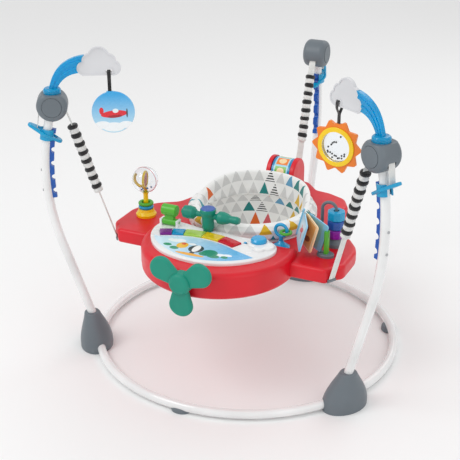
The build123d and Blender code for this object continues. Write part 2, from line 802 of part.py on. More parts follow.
with BuildPart() as console:
    with BuildSketch(level(NOSE_TOP)):
        with BuildLine():
            Spline(*CONSOLE_EDGE, periodic=True)
        make_face()
    extrude(amount=CONSOLE_TOP - NOSE_TOP)
    add(swivel_room.part, mode=Mode.SUBTRACT)
    fillet(top_edges(console), 4)
    with BuildSketch(level(CONSOLE_TOP - 1)):
        with Locations(BUTTON_AT):
            Circle(31)
        with Locations((BUTTON_AT[0] + 30, BUTTON_AT[1] - 12)):
            Circle(20)
        with Locations((BUTTON_AT[0] + 14, BUTTON_AT[1] - 32)):
            Circle(16)
    extrude(amount=9)
    fillet(top_edges(console), 6)
    with BuildSketch(level(CONSOLE_TOP - 1)):
        for side in (-1, 1):
            with Locations((LEVER_AT[0] + side * 25, LEVER_AT[1])):
                Rectangle(6, 22)
    extrude(amount=LEVER_Z - CONSOLE_TOP + 9)
    with BuildSketch(level(CONSOLE_TOP - 5.5)):
        key_band(KEY_IN - 0.6, KEY_OUT + 0.6, 64.9, 120.1)
    extrude(amount=10, mode=Mode.SUBTRACT)
    with BuildSketch(level(CONSOLE_TOP - 1.5)):
        with BuildLine():
            rim = Spline(*PANEL_EDGE)
            back = CenterArc(KEY_CENTRE, KEY_IN - 4, *PANEL_BACK)
            Line(rim @ 0, back @ 1)
            Line(rim @ 1, back @ 0)
        make_face()
    extrude(amount=10, mode=Mode.SUBTRACT)
    with BuildSketch(level(CONSOLE_TOP - 6)):
        with Locations(BUTTON_AT):
            Circle(22)
        with Locations(SWITCH_AT):
            SlotOverall(17, 8)
    extrude(amount=30, mode=Mode.SUBTRACT)
    with BuildSketch(level(NOSE_TOP)):
        with Locations(YOKE_AT):
            Circle(8 + RUN)
    extrude(amount=30, mode=Mode.SUBTRACT)
    with BuildSketch(sideways(LEVER_AT[0] - 40, LEVER_AT[1], LEVER_Z)):
        Circle(4 + RUN)
    extrude(amount=80, mode=Mode.SUBTRACT)
save(console, "console")

with BuildPart() as panel:
    with BuildSketch(level(CONSOLE_TOP - 1.5)):
        with BuildLine():
            rim = Spline(*PANEL_EDGE)
            back = CenterArc(KEY_CENTRE, KEY_IN - 4, *PANEL_BACK)
            Line(rim @ 0, back @ 1)
            Line(rim @ 1, back @ 0)
        make_face()
    extrude(amount=1)
save(panel, "picture_panel")

for colour, (start, stop) in KEY_EDGES.items():
    with BuildPart() as key:
        with BuildSketch(level(CONSOLE_TOP - 5.5 + KEY_TRAVEL + 0.3)):
            key_band(KEY_IN, KEY_OUT, start + 0.15, stop - 0.15)
        extrude(amount=8.5)
        fillet(top_edges(key), 2)
    save(key, f"key_{colour}")

with BuildPart() as button:
    foot_z = CONSOLE_TOP - 1.5
    turn_profile([(0, foot_z), (21.5, foot_z), (21.5, 424), (18, 428), (0, 429)], *BUTTON_AT)
save(button, "melody_button")

with BuildPart() as slider:
    with BuildSketch(level(CONSOLE_TOP - 5.5, *SWITCH_AT)):
        with Locations((-3, 0)):
            Rectangle(7, 6)
    extrude(amount=8.5)
    fillet(top_edges(slider), 1.5)
save(slider, "power_slider")

GRIP_LEFT = [(0, 10), (8, 10), (9, 34), (20, 44), (22, 58), (20, 72), (8, 80), (0, 80)]
GRIP_RIGHT = [(0, 10), (8, 10), (10, 26), (20, 34), (21, 46), (17, 60)]
GRIP_RIGHT += [(12, 68), (13, 88), (9, 95), (0, 95)]
GRIP_SLIM = 0.86

with BuildPart() as yoke:
    stem = [(0, NOSE_TOP + 1), (8, NOSE_TOP + 1), (8, CONSOLE_TOP + 0.5), (13.8, CONSOLE_TOP + 0.5)]
    post = [(13.8, 415), (17, 420), (16.5, 440), (18, YOKE_Z), (22, 466), (22, 474), (19, 477), (0, 477)]
    turn_profile(stem + post, *YOKE_AT)
    for side, profile in ((-1, GRIP_LEFT), (1, GRIP_RIGHT)):
        with BuildSketch(Plane((*YOKE_AT, YOKE_Z), x_dir=(0, 1, 0), z_dir=(0, 0, 1))) as grip:
            with BuildLine():
                Polyline(*[(size * GRIP_SLIM, -side * out) for size, out in profile], close=True)
            make_face()
        revolve(grip.sketch, axis=Axis((YOKE_AT[0], YOKE_AT[1], YOKE_Z), (1, 0, 0)))
save(yoke, "yoke")

with BuildPart() as lever:
    side_plane = sideways(*LEVER_AT)
    with BuildSketch(side_plane):
        with Locations((0, LEVER_Z)):
            Circle(10)
        with Locations((0, (LEVER_Z + YOKE_Z) / 2)):
            Rectangle(14, YOKE_Z - LEVER_Z)
    extrude(amount=13, both=True)
    with BuildSketch(side_plane):
        with Locations((0, LEVER_Z)):
            Circle(10)
    extrude(amount=21, both=True)
    with BuildSketch(side_plane):
        with Locations((0, LEVER_Z)):
            Circle(4)
    extrude(amount=27.5, both=True)
    with BuildSketch(side_plane):
        with Locations((0, YOKE_Z)):
            Circle(16)
    extrude(amount=22, both=True)
    fillet(lever.edges().filter_by(GeomType.CIRCLE).filter_by(lambda edge: edge.radius > 15), 3)
save(lever, "lever")

# ---- Seat ---------------------------------------------------------------------------------------
with BuildPart() as seat_ring:
    lip = [(168, 334), (180.5, 334), (180.5, 337.5), (174, 338.5), (174, WING_TOP + 0.5)]
    turn_profile(lip + [(SEAT_RING_R, WING_TOP + 0.5), (SEAT_RING_R, 387), (168, 387)], 0, SEAT_Y)
save(seat_ring, "seat_ring")

with BuildPart() as seat_pad:
    with BuildSketch(upright(0, SEAT_Y)):
        with BuildLine():
            Polyline((169, 387.2), (184, 387.2), (186, 395))
            Spline((186, 395), (184, 415), (165, 430), (146, 422), (141, 400))
            Polyline((141, 400), (150, 387.2), (169, 387.2))
        make_face()
    revolve(axis=Axis((0, SEAT_Y, 0), (0, 0, 1)))
    with BuildSketch(Plane(origin=(0, SEAT_Y, 0), x_dir=(cos(radians(20)), sin(radians(20)), 0),
                           z_dir=(sin(radians(20)), -cos(radians(20)), 0))):
        with BuildLine():
            Polyline((165, 424), (166, 440), (164, 466))
            Spline((164, 466), (158, 478), (149, 470))
            Polyline((149, 470), (143, 440), (147, 418), (165, 424))
        make_face()
    revolve(axis=Axis((0, SEAT_Y, 0), (0, 0, 1)), revolution_arc=140)
save(seat_pad, "seat_pad")

with BuildPart() as seat_sling:
    with BuildSketch(upright(0, SEAT_Y)):
        with BuildLine():
            Spline(*SLING_OUTER, tangents=((0, -1), (-1, 0)))
            Line(SLING_OUTER[-1], SLING_INNER[0])
            Spline(*SLING_INNER, tangents=((1, 0), (0, 1)))
            Line(SLING_INNER[-1], SLING_OUTER[0])
        make_face()
    revolve(axis=Axis((0, SEAT_Y, 0), (0, 0, 1)))
    with BuildSketch(upright(0, SEAT_Y)):
        for side in (-1, 1):
            with Locations((side * LEG_HOLE[0], LEG_HOLE[1])):
                Ellipse(*LEG_HOLE_SIZE)
    extrude(amount=200, mode=Mode.SUBTRACT)
    with BuildSketch(level(383, 0, SEAT_Y)):
        Circle(168)
        Circle(147, mode=Mode.SUBTRACT)
    extrude(amount=3.5)
save(seat_sling, "seat_sling")

# ---- Wing toys ----------------------------------------------------------------------------------
with BuildPart() as spinner_base:
    dome = [(0, WING_TOP), (29, WING_TOP), (30, 388), (24, 396), (22, 404)]
    post = [(7, 404), (7, 450), (9, 451), (9, 453.5), (5, 453.5), (5, 464), (0, 464)]
    turn_profile(dome + post, *SPINNER_AT)
    for z in (409.2, 419.6):
        with BuildSketch(upright(*SPINNER_AT)) as section:
            with Locations((17, z)):
                Circle(5.2)
        revolve(section.sketch, axis=Axis((*SPINNER_AT, 0), (0, 0, 1)))
save(spinner_base, "spinner_base")

with BuildPart() as spinner_ball:
    with BuildSketch(upright(*SPINNER_AT)):
        with Locations((0, BALL_MID)):
            Circle(BALL_OUT)
            Circle(BALL_OUT - 2, mode=Mode.SUBTRACT)
        with Locations((-100, BALL_MID)):
            Rectangle(200, 200, mode=Mode.SUBTRACT)
        with Locations((0, BALL_MID - BALL_OUT)):
            Rectangle(2 * (5 + RUN), 6, mode=Mode.SUBTRACT)
    revolve(axis=Axis((*SPINNER_AT, 0), (0, 0, 1)))
    with BuildSketch(sideways(SPINNER_AT[0] - 2, SPINNER_AT[1], BALL_MID)):
        Circle(26)
        with Locations((0, 31)):
            Rectangle(5, 11)
    extrude(amount=4)
save(spinner_ball, "spinner_ball")

with BuildPart() as loop_toy:
    cone = [(0, WING_TOP), (25, WING_TOP), (25, 384), (12, 393), (6, 400), (6, 414), (0, 414)]
    turn_profile(cone, *LOOP_AT)
    with BuildSketch(Plane(origin=(LOOP_AT[0] + 17, LOOP_AT[1], 431), x_dir=(1, 0, 0), z_dir=(0, 0, 1))):
        Circle(4.5)
    revolve(axis=Axis((LOOP_AT[0], LOOP_AT[1], 431), (0, 1, 0)))
save(loop_toy, "loop_toy")

with BuildPart() as loop_ring:
    with BuildSketch(upright(LOOP_AT[0] + 14 + 14, LOOP_AT[1])):
        with Locations((0, 427)):
            Circle(4)
    revolve(axis=Axis((LOOP_AT[0] + 14, LOOP_AT[1], 427), (0, 0, 1)))
save(loop_ring, "loop_ring")

with BuildPart() as stacker:
    turn_profile([(0, WING_TOP), (27, WING_TOP), (26, 390), (18, 404), (0, 404)], *STACK_AT)
    with BuildSketch(level(WING_TOP, STACK_AT[0] - ARCH_GAP, STACK_AT[1])):
        Circle(9)
    extrude(amount=6)
    with BuildLine(upright(*STACK_AT)) as arch:
        Line((-ARCH_GAP, WING_TOP), (-ARCH_GAP, ARCH_Z))
        CenterArc((-ARCH_GAP / 2, ARCH_Z), ARCH_GAP / 2, 180, -180)
        Line((0, ARCH_Z), (0, 400))
    with BuildSketch(level(WING_TOP, STACK_AT[0] - ARCH_GAP, STACK_AT[1])) as tube:
        Circle(4.5)
    sweep(tube.sketch, path=arch.line)
save(stacker, "stacker_frame")

for colour, z in STACK_RISE.items():
    with BuildPart() as stack_ring:
        with BuildSketch(level(z, *STACK_AT)):
            RegularPolygon(25, 8)
            Circle(8, mode=Mode.SUBTRACT)
        extrude(amount=26)
        fillet(stack_ring.edges().filter_by(Axis.Z), 5)
        fillet([face.outer_wire().edges() for face in stack_ring.faces().filter_by(Axis.Z)][0], 4)
        fillet(stack_ring.faces().sort_by(Axis.Z)[-1].outer_wire().edges(), 4)
    save(stack_ring, f"stack_ring_{colour}")

# ---- Book: a holder grips the back cover; the other leaves turn on the binding ------------------
tilt = radians(BOOK_TILT)
BINDING = Vector(-sin(tilt), 0, -cos(tilt))


def leaf_plane(turn):
    """Plane of a leaf: local x runs away from the binding, local y down along it."""
    level_out = Vector(cos(tilt), 0, -sin(tilt))
    out = level_out * cos(radians(turn)) + Vector(0, 1, 0) * sin(radians(turn))
    return Plane(BOOK_TOP, x_dir=out, z_dir=out.cross(BINDING).normalized())


for name, turn in LEAF_TURNS.items():
    with BuildPart() as leaf:
        with BuildSketch(leaf_plane(turn)):
            with Locations(((LEAF_START + LEAF_LONG) / 2, LEAF_TALL / 2)):
                RectangleRounded(LEAF_LONG - LEAF_START, LEAF_TALL, 6)
        extrude(amount=LEAF_HALF, both=True)
        with BuildSketch(leaf_plane(turn)):
            with Locations(((LEAF_START + 5) / 2, LEAF_TALL / 2)):
                Rectangle(LEAF_START - 3, LEAF_TALL - 14)
        extrude(amount=WEB_HALF, both=True)
        if name == "back":
            with BuildSketch(Plane(BOOK_TOP, z_dir=BINDING)):
                Circle(3)
            extrude(amount=LEAF_TALL)
            with BuildSketch(leaf_plane(turn)):
                with Locations((3, LEAF_TALL / 2)):
                    Rectangle(4, LEAF_TALL - 14)
            extrude(amount=WEB_HALF, both=True)
    save(leaf, f"book_{name}")

holder_top = leaf_plane(LEAF_TURNS["back"]).from_local_coords(Vector(LEAF_LONG, LEAF_TALL / 2, 0))
with BuildPart() as book_base:
    with BuildSketch(level(WING_TOP, holder_top.X + 4, holder_top.Y)):
        Ellipse(24, 18)
    extrude(amount=9)
    fillet(top_edges(book_base), 3)
    with BuildSketch(level(WING_TOP + 5, holder_top.X + 6, holder_top.Y)):
        RectangleRounded(12, 16, 3)
    extrude(amount=68)
    with BuildSketch(leaf_plane(LEAF_TURNS["back"])):
        with Locations((LEAF_LONG / 2 + 10, LEAF_TALL / 2)):
            Rectangle(LEAF_LONG, LEAF_TALL)
    extrude(amount=LEAF_HALF + RUN, both=True, mode=Mode.SUBTRACT)
save(book_base, "book_base")
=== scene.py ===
"""Looks of the activity jumper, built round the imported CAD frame. Metres, +Z up, front towards -Y."""

import json
import random
from math import cos, hypot, pi, radians, sin, sqrt

import bpy
import numpy as np
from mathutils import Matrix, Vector


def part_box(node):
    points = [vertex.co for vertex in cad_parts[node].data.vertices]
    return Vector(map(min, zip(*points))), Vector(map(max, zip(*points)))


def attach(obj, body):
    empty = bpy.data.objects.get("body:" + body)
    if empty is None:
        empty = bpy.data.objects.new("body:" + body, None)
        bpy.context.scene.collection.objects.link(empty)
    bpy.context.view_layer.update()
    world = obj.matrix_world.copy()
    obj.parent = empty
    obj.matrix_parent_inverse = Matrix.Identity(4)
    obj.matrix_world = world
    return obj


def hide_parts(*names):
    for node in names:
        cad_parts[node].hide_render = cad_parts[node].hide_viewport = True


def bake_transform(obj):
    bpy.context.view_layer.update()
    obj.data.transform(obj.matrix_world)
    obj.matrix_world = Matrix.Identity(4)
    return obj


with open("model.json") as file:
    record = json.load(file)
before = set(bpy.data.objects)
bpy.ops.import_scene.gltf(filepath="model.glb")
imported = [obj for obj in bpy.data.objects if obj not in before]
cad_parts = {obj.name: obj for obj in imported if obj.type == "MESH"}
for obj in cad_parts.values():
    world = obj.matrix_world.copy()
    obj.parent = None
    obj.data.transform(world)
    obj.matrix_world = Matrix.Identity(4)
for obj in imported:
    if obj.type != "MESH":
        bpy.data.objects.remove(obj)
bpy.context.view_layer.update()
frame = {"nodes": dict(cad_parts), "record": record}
nodes = frame["nodes"]
random.seed(41)

# ---- Places, worked out from the frame -----------------------------------------------------------------
TUBE_R = 0.0125                     # tube of the stand
RING_R = 0.440                      # base ring, to its tube's centre
RING_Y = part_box("base_tube_front")[0].y + RING_R + TUBE_R
LEGS = {"left": 210, "right": 330, "back": 90}
SEAT_LOW, SEAT_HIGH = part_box("seat_ring")
SEAT_X, SEAT_Y = 0.0, (SEAT_LOW.y + SEAT_HIGH.y) / 2
STRAP_LEAN = 0.316                  # outward run of a strap per unit of height
STRAP_FOOT_R, STRAP_FOOT_Z = 0.377, 0.352
STRAP_W, STRAP_T = 0.020, 0.0016
TUCK = 0.004                        # webbing hidden in each end of a sleeve
SLEEVE_TOP, SLEEVE_LOW = 0.690, 0.490
UP = Vector((0, 0, 1))


def middle(node):
    low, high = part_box(node)
    return (low + high) / 2


def outward(angle):
    return Vector((cos(radians(angle)), sin(radians(angle)), 0))


def leg_side(angle):
    """Direction across a leg's plane."""
    return Vector((sin(radians(angle)), -cos(radians(angle)), 0))


def place(angle, r, z, across=0.0):
    """Point at a radius and height in a leg's plane, moved sideways by across."""
    return Vector((0, RING_Y, z)) + outward(angle) * r + leg_side(angle) * across


def strap_r(z):
    return STRAP_FOOT_R + STRAP_LEAN * (z - STRAP_FOOT_Z)


def sleeve_frame(angle):
    """Ends of a sleeve's centre line, its direction and the two directions across it."""
    low = place(angle, strap_r(SLEEVE_LOW), SLEEVE_LOW)
    high = place(angle, strap_r(SLEEVE_TOP), SLEEVE_TOP)
    axis = (high - low).normalized()
    across = leg_side(angle)
    return low, high, axis, across, axis.cross(across)


# ---- Materials -----------------------------------------------------------------------------------------
def linear(code):
    """Linear RGBA of a six-figure colour code."""
    parts = [int(code[i:i + 2], 16) / 255 for i in (0, 2, 4)]
    return [p / 12.92 if p <= 0.04045 else ((p + 0.055) / 1.055) ** 2.4 for p in parts] + [1.0]


def shaded(colour, share):
    """A linear colour at a share of its brightness."""
    return [c * share for c in colour[:3]] + [1]


class Shader:
    """A Principled material and short calls for the nodes that feed it."""

    def __init__(self, name):
        self.material = bpy.data.materials.new(name)
        self.material.use_nodes = True
        self.tree = self.material.node_tree
        self.skin = self.tree.nodes["Principled BSDF"]
        self.coords = self.tree.nodes.new("ShaderNodeTexCoord")

    def node(self, kind, inputs=None, **settings):
        made = self.tree.nodes.new("ShaderNode" + kind)
        for key, value in settings.items():
            setattr(made, key, value)
        for key, value in (inputs or {}).items():
            self.feed(made.inputs[key], value)
        return made

    def feed(self, socket, value):
        if isinstance(value, bpy.types.NodeSocket):
            self.tree.links.new(value, socket)
        else:
            socket.default_value = value

    def math(self, operation, a, b=0.0, c=0.0):
        made = self.node("Math", operation=operation)
        for socket, value in zip(made.inputs, (a, b, c)):
            self.feed(socket, value)
        return made.outputs[0]

    def mix(self, factor, a, b):
        made = self.node("Mix", data_type="RGBA")
        self.feed(made.inputs[0], factor)
        self.feed(made.inputs[6], a)
        self.feed(made.inputs[7], b)
        return made.outputs[2]

    def noise(self, scale, detail=2.0, vector=None):
        inputs = {"Scale": scale, "Detail": detail, "Vector": vector or self.coords.outputs["Object"]}
        return self.node("TexNoise", inputs).outputs["Fac"]

    def spread(self, value, low, high):
        """Map noise from 0.3..0.7 to low..high."""
        inputs = {"Value": value, "From Min": 0.3, "From Max": 0.7, "To Min": low, "To Max": high}
        return self.node("MapRange", inputs).outputs[0]

    def bump(self, height, strength, distance):
        made = self.node("Bump", {"Height": height, "Strength": strength, "Distance": distance})
        self.feed(self.skin.inputs["Normal"], made.outputs[0])

    def set(self, **values):
        for key, value in values.items():
            self.feed(self.skin.inputs[key.replace("_", " ")], value)
        return self


def moulded(name, code, rough=0.32, grain=0.25, coat=0.0, **extra):
    """Moulded plastic: slight tone drift, uneven gloss and a fine moulded texture."""
    shader = Shader(name)
    base = linear(code)
    shader.set(Base_Color=shader.mix(shader.spread(shader.noise(9), 0, 1), shaded(base, 0.88), base))
    gloss = shader.spread(shader.noise(45, 4), rough - 0.05, rough + 0.07)
    shader.set(Roughness=gloss, Coat_Weight=coat, **extra)
    shader.bump(shader.noise(900, 2), grain, 0.00008)
    return shader.material


def see_through(name, code, rough=0.12, body=0.55):
    """Translucent moulded plastic: part of the light goes through, part scatters."""
    shader = Shader(name)
    base = linear(code)
    shader.set(Base_Color=shader.mix(shader.spread(shader.noise(14), 0, 1), shaded(base, 0.9), base))
    shader.set(Roughness=rough, Transmission_Weight=body, IOR=1.3, Coat_Weight=0.4, Coat_Roughness=0.05)
    shader.set(Subsurface_Weight=0.25, Subsurface_Scale=0.02, Subsurface_Radius=(1, 1, 1))
    shader.bump(shader.noise(300, 2), 0.12, 0.0004)
    return shader.material


def clear(name):
    """Clear moulded plastic, a little wavy."""
    shader = Shader(name)
    shader.set(Base_Color=(0.97, 0.985, 1, 1), Roughness=shader.spread(shader.noise(60), 0.02, 0.06))
    shader.set(Transmission_Weight=1.0, IOR=1.42, Coat_Weight=0.3, Coat_Roughness=0.02)
    shader.bump(shader.noise(20), 0.04, 0.001)
    return shader.material


def metal(name, code, rough=0.35):
    """Bare metal with fine uneven gloss."""
    shader = Shader(name)
    brushed = shader.noise(700, 3)
    gloss = shader.spread(brushed, rough - 0.1, rough + 0.12)
    shader.set(Base_Color=linear(code), Metallic=1.0, Roughness=gloss)
    shader.bump(brushed, 0.15, 0.0002)
    return shader.material


def woven(name, code, thread=0.0007):
    """Cloth with crossed threads, from the mesh's UV map in metres."""
    shader = Shader(name)
    split = shader.node("SeparateXYZ", {"Vector": shader.coords.outputs["UV"]})
    across = shader.math("SINE", shader.math("MULTIPLY", split.outputs[0], 2 * pi / thread))
    along = shader.math("SINE", shader.math("MULTIPLY", split.outputs[1], 2 * pi / (thread * 1.6)))
    height = shader.math("MULTIPLY_ADD", across, along, shader.noise(500, 3))
    base = linear(code)
    tone = shader.mix(shader.spread(shader.noise(60, 4), 0, 1), shaded(base, 0.84), base)
    shader.set(Base_Color=tone, Roughness=0.85, Sheen_Weight=0.35, Sheen_Roughness=0.5)
    shader.bump(height, 0.5, 0.0003)
    return shader.material


TRI_W, TRI_H = 0.037, 0.039         # cell of one printed triangle
TRI_TIP, TRI_FOOT = 0.95, 0.04      # heights in its cell between which a triangle stands
PRINT_DRAW = 8.1                    # another value deals the colours out anew
COLOURED_FROM, STRIPED_FROM = 0.66, 0.94
TRI_STRIPES = 5.0
COTTON_THREAD = 0.0011
TRI_COLOURS = ("E0651F", "1E9AA8", "5BA63E", "5D9CC0", "DDB018", "D0595F", "167F7C")


def constant_ramp(shader, value, codes):
    """One of several colours, in equal steps of a value from 0 to 1."""
    made = shader.node("ValToRGB", {"Fac": value})
    made.color_ramp.interpolation = "CONSTANT"
    stops = made.color_ramp.elements
    stops[0].color = linear(codes[0])
    stops[1].position = 1 / len(codes)
    stops[1].color = linear(codes[1])
    for step, code in enumerate(codes[2:], 2):
        stops.new(step / len(codes)).color = linear(code)
    return made.outputs[0]


def printed_cloth():
    """White cotton printed with rows of small triangles, some of them coloured or striped."""
    shader = Shader("seat_print")
    split = shader.node("SeparateXYZ", {"Vector": shader.coords.outputs["UV"]})
    u, v = split.outputs[0], split.outputs[1]
    row_at = shader.math("DIVIDE", v, TRI_H)
    row = shader.math("FLOOR", row_at)
    up = shader.math("FRACT", row_at)
    shift = shader.math("MULTIPLY", shader.math("MODULO", row, 2.0), 0.5)
    column_at = shader.math("ADD", shader.math("DIVIDE", u, TRI_W), shift)
    column = shader.math("FLOOR", column_at)
    side = shader.math("ABSOLUTE", shader.math("SUBTRACT", shader.math("FRACT", column_at), 0.5))
    edge = shader.math("MULTIPLY", shader.math("SUBTRACT", TRI_TIP, up), 0.5)
    above_foot = shader.math("GREATER_THAN", up, TRI_FOOT)
    inside = shader.math("MULTIPLY", shader.math("LESS_THAN", side, edge), above_foot)
    cell = shader.node("CombineXYZ", {"X": column, "Y": row, "Z": PRINT_DRAW})
    chance = shader.node("TexWhiteNoise", {"Vector": cell.outputs[0]}, noise_dimensions="3D")
    drawn = shader.node("SeparateColor", {"Color": chance.outputs["Color"]})
    pick = drawn.outputs[0]
    hue = constant_ramp(shader, drawn.outputs[1], TRI_COLOURS)
    scratch = shader.math("MULTIPLY_ADD", shader.noise(260, 3), 0.35, 0.32)
    grey = shader.mix(scratch, linear("F0F0EE"), linear("B4B4B4"))
    filled = shader.mix(shader.math("GREATER_THAN", pick, COLOURED_FROM), grey, hue)
    band = shader.math("FRACT", shader.math("MULTIPLY", up, TRI_STRIPES))
    stripes = shader.mix(shader.math("LESS_THAN", band, 0.5), linear("F2F2F0"), linear("26282A"))
    filled = shader.mix(shader.math("GREATER_THAN", pick, STRIPED_FROM), filled, stripes)
    cloth = shader.mix(inside, linear("F1F1EF"), filled)
    shader.set(Base_Color=cloth, Roughness=0.88, Sheen_Weight=0.3)
    warp = shader.math("SINE", shader.math("MULTIPLY", u, 2 * pi / COTTON_THREAD))
    weft = shader.math("SINE", shader.math("MULTIPLY", v, 2 * pi / COTTON_THREAD))
    wrinkles = shader.math("MULTIPLY", shader.noise(75, 3), 1.4)
    height = shader.math("MULTIPLY_ADD", shader.math("MULTIPLY", warp, weft), 0.25, wrinkles)
    shader.bump(height, 0.35, 0.0012)
    return shader.material


class Print(Shader):
    """Printed label: flat shapes laid over a ground colour, in two coordinates of the print's own plane."""

    def __init__(self, name, right, up, origin):
        super().__init__(name)
        self.across = self.along(right, origin)
        self.upward = self.along(up, origin)

    def along(self, direction, origin):
        inputs = {0: self.coords.outputs["Object"], 1: tuple(direction)}
        dot = self.node("VectorMath", inputs, operation="DOT_PRODUCT").outputs["Value"]
        return self.math("SUBTRACT", dot, Vector(origin).dot(Vector(direction)))

    def fade(self, value, start, stop):
        return self.node("MapRange", {"Value": value, "From Min": start, "From Max": stop}).outputs[0]

    def spot(self, x, y, wide, tall, lean=0.0):
        """1 inside an ellipse, 0 outside."""
        dx = self.math("SUBTRACT", self.across, x)
        dy = self.math("SUBTRACT", self.upward, y)
        u = self.math("MULTIPLY_ADD", dy, sin(lean), self.math("MULTIPLY", dx, cos(lean)))
        v = self.math("MULTIPLY_ADD", dx, -sin(lean), self.math("MULTIPLY", dy, cos(lean)))
        u = self.math("POWER", self.math("ABSOLUTE", self.math("DIVIDE", u, wide)), 2.0)
        v = self.math("POWER", self.math("ABSOLUTE", self.math("DIVIDE", v, tall)), 2.0)
        return self.fade(self.math("ADD", u, v), 1.06, 0.94)

    def lay(self, colour, spots, code):
        """Colour with ellipses painted over it, each given as (x, y, half width, half height, lean)."""
        for one in spots:
            colour = self.mix(self.spot(*one), colour, linear(code))
        return colour

    def done(self, colour, rough=0.28):
        """The material, printed in this colour under a thin clear coat."""
        worn = self.noise(30, 3)
        self.set(Base_Color=colour, Roughness=self.spread(worn, rough - 0.05, rough + 0.05), Coat_Weight=0.4)
        self.bump(self.noise(700, 2), 0.05, 0.0001)
        return self.material


def disc_print():
    """Sky, low clouds and a plain red aeroplane."""
    shader = Print("disc_print", -outward(LEGS["left"]), UP, middle("toy_disc"))
    colour = shader.mix(shader.fade(shader.upward, -0.05, 0.05), linear("BFE6F7"), linear("2FA8E6"))
    clouds = [(-0.03, -0.036, 0.022, 0.011), (0.0, -0.042, 0.030, 0.013), (0.034, -0.036, 0.020, 0.010)]
    fuselage = (0.002, -0.005, 0.036, 0.010, 0.08)
    tail = (-0.032, 0.004, 0.006, 0.010)
    wing = (0.004, -0.012, 0.020, 0.004, 0.08)
    window = (0.006, 0.004, 0.008, 0.006)
    airscrew = (0.037, -0.003, 0.0022, 0.013)
    for spots, code in ((clouds, "F6FBFD"), ([fuselage, tail], "E2192F"), ([wing], "A80F22"),
                        ([window], "E9F4F8"), ([airscrew], "3A4046")):
        colour = shader.lay(colour, spots, code)
    return shader.done(colour)


def panel_print():
    """Sky with clouds, bushes, a sun, a balloon over its basket, a hill and a path."""
    low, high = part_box("picture_panel")
    centre = ((low.x + high.x) / 2, (low.y + high.y) / 2, 0)
    shader = Print("panel_print", Vector((1, 0, 0)), Vector((0, 1, 0)), centre)
    colour = shader.mix(shader.fade(shader.across, -0.09, 0.10), linear("CDE9F7"), linear("62B4E6"))
    clouds = [(-0.085, 0.022, 0.020, 0.009), (-0.068, 0.028, 0.014, 0.008), (0.070, -0.012, 0.016, 0.008),
              (0.086, -0.006, 0.012, 0.006), (-0.03, 0.018, 0.012, 0.006)]
    bushes = [(-0.092, -0.008, 0.012, 0.008), (-0.066, -0.020, 0.013, 0.009), (0.052, -0.026, 0.018, 0.010),
              (0.082, -0.020, 0.010, 0.007)]
    sun = (-0.052, 0.002, 0.016, 0.018)
    glow = (-0.052, 0.012, 0.007, 0.006)
    balloon = (-0.008, -0.004, 0.021, 0.022)
    basket = (-0.008, -0.030, 0.007, 0.006)
    gore = (-0.008, -0.002, 0.010, 0.021)
    hill = [(0.036, -0.012, 0.022, 0.019), (0.024, -0.022, 0.015, 0.011)]
    path = (-0.010, -0.040, 0.042, 0.007)
    for spots, code in ((clouds, "F4F9FC"), (bushes, "1F8F6A"), ([sun], "F2B81E"), ([glow], "E4572C"),
                        ([balloon, basket], "2B2F35"), ([gore], "F4F4F2"), (hill, "128C6C"),
                        ([path], "F0A81C")):
        colour = shader.lay(colour, spots, code)
    return shader.done(colour)


DRUM_PICTURES = 8
DRUM_PICTURE, DRUM_EDGE = 0.0185, 0.0225    # half widths of the pictures and of the band round them


def drum_print():
    """Picture band: framed panels in turning colours with a plain spot in each."""
    centre = middle("tail_drum")
    shader = Print("drum_print", Vector((0, 1, 0)), UP, centre)
    side = shader.math("ABSOLUTE", shader.along(Vector((1, 0, 0)), centre))
    spin = shader.math("ARCTAN2", shader.upward, shader.across)
    turn = shader.math("ADD", shader.math("DIVIDE", spin, 2 * pi / DRUM_PICTURES), float(DRUM_PICTURES))
    part = shader.math("ABSOLUTE", shader.math("SUBTRACT", shader.math("FRACT", turn), 0.5))
    number = shader.math("MODULO", shader.math("FLOOR", turn), 2.0)
    colour = shader.mix(number, linear("F0822A"), linear("6FB23C"))
    spot = shader.math("ADD", shader.math("POWER", shader.math("DIVIDE", side, 0.012), 2.0),
                       shader.math("POWER", shader.math("DIVIDE", part, 0.3), 2.0))
    colour = shader.mix(shader.fade(spot, 1.1, 0.9), colour, linear("F6D9A8"))
    for value, limit, code in ((part, 0.42, "A6DDEE"), (side, DRUM_PICTURE, "A6DDEE"),
                               (side, DRUM_EDGE, "1287BE")):
        colour = shader.mix(shader.math("GREATER_THAN", value, limit), colour, linear(code))
    return shader.done(colour)


BOOK_LEAN = 14.7                    # degrees, the book's spine from upright
SPINE_TOP = Vector((0.205, -0.085 + RING_Y, 0.490))
SPINE_HALF = 0.041
PAGE_X, PAGE_Y = 0.034, 0.037       # half size of a page inside its pale rim


def leaf_print(node, ground, edge, shape, marks):
    """Board page: a pale rim round a ground colour, with plain marks on it."""
    spine = Vector((-sin(radians(BOOK_LEAN)), 0, -cos(radians(BOOK_LEAN))))
    out = middle(node) - SPINE_TOP - spine * SPINE_HALF
    out.normalize()
    shader = Print(f"{node}_print", out, -spine, middle(node))
    rim_x = shader.math("GREATER_THAN", shader.math("ABSOLUTE", shader.across), PAGE_X)
    rim_y = shader.math("GREATER_THAN", shader.math("ABSOLUTE", shader.upward), PAGE_Y)
    colour = shader.mix(shader.noise(30, 2), linear(ground), shaded(linear(ground), 0.85))
    colour = shader.lay(colour, marks, shape)
    return shader.done(shader.mix(shader.math("MAXIMUM", rim_x, rim_y), colour, linear(edge)), 0.4)


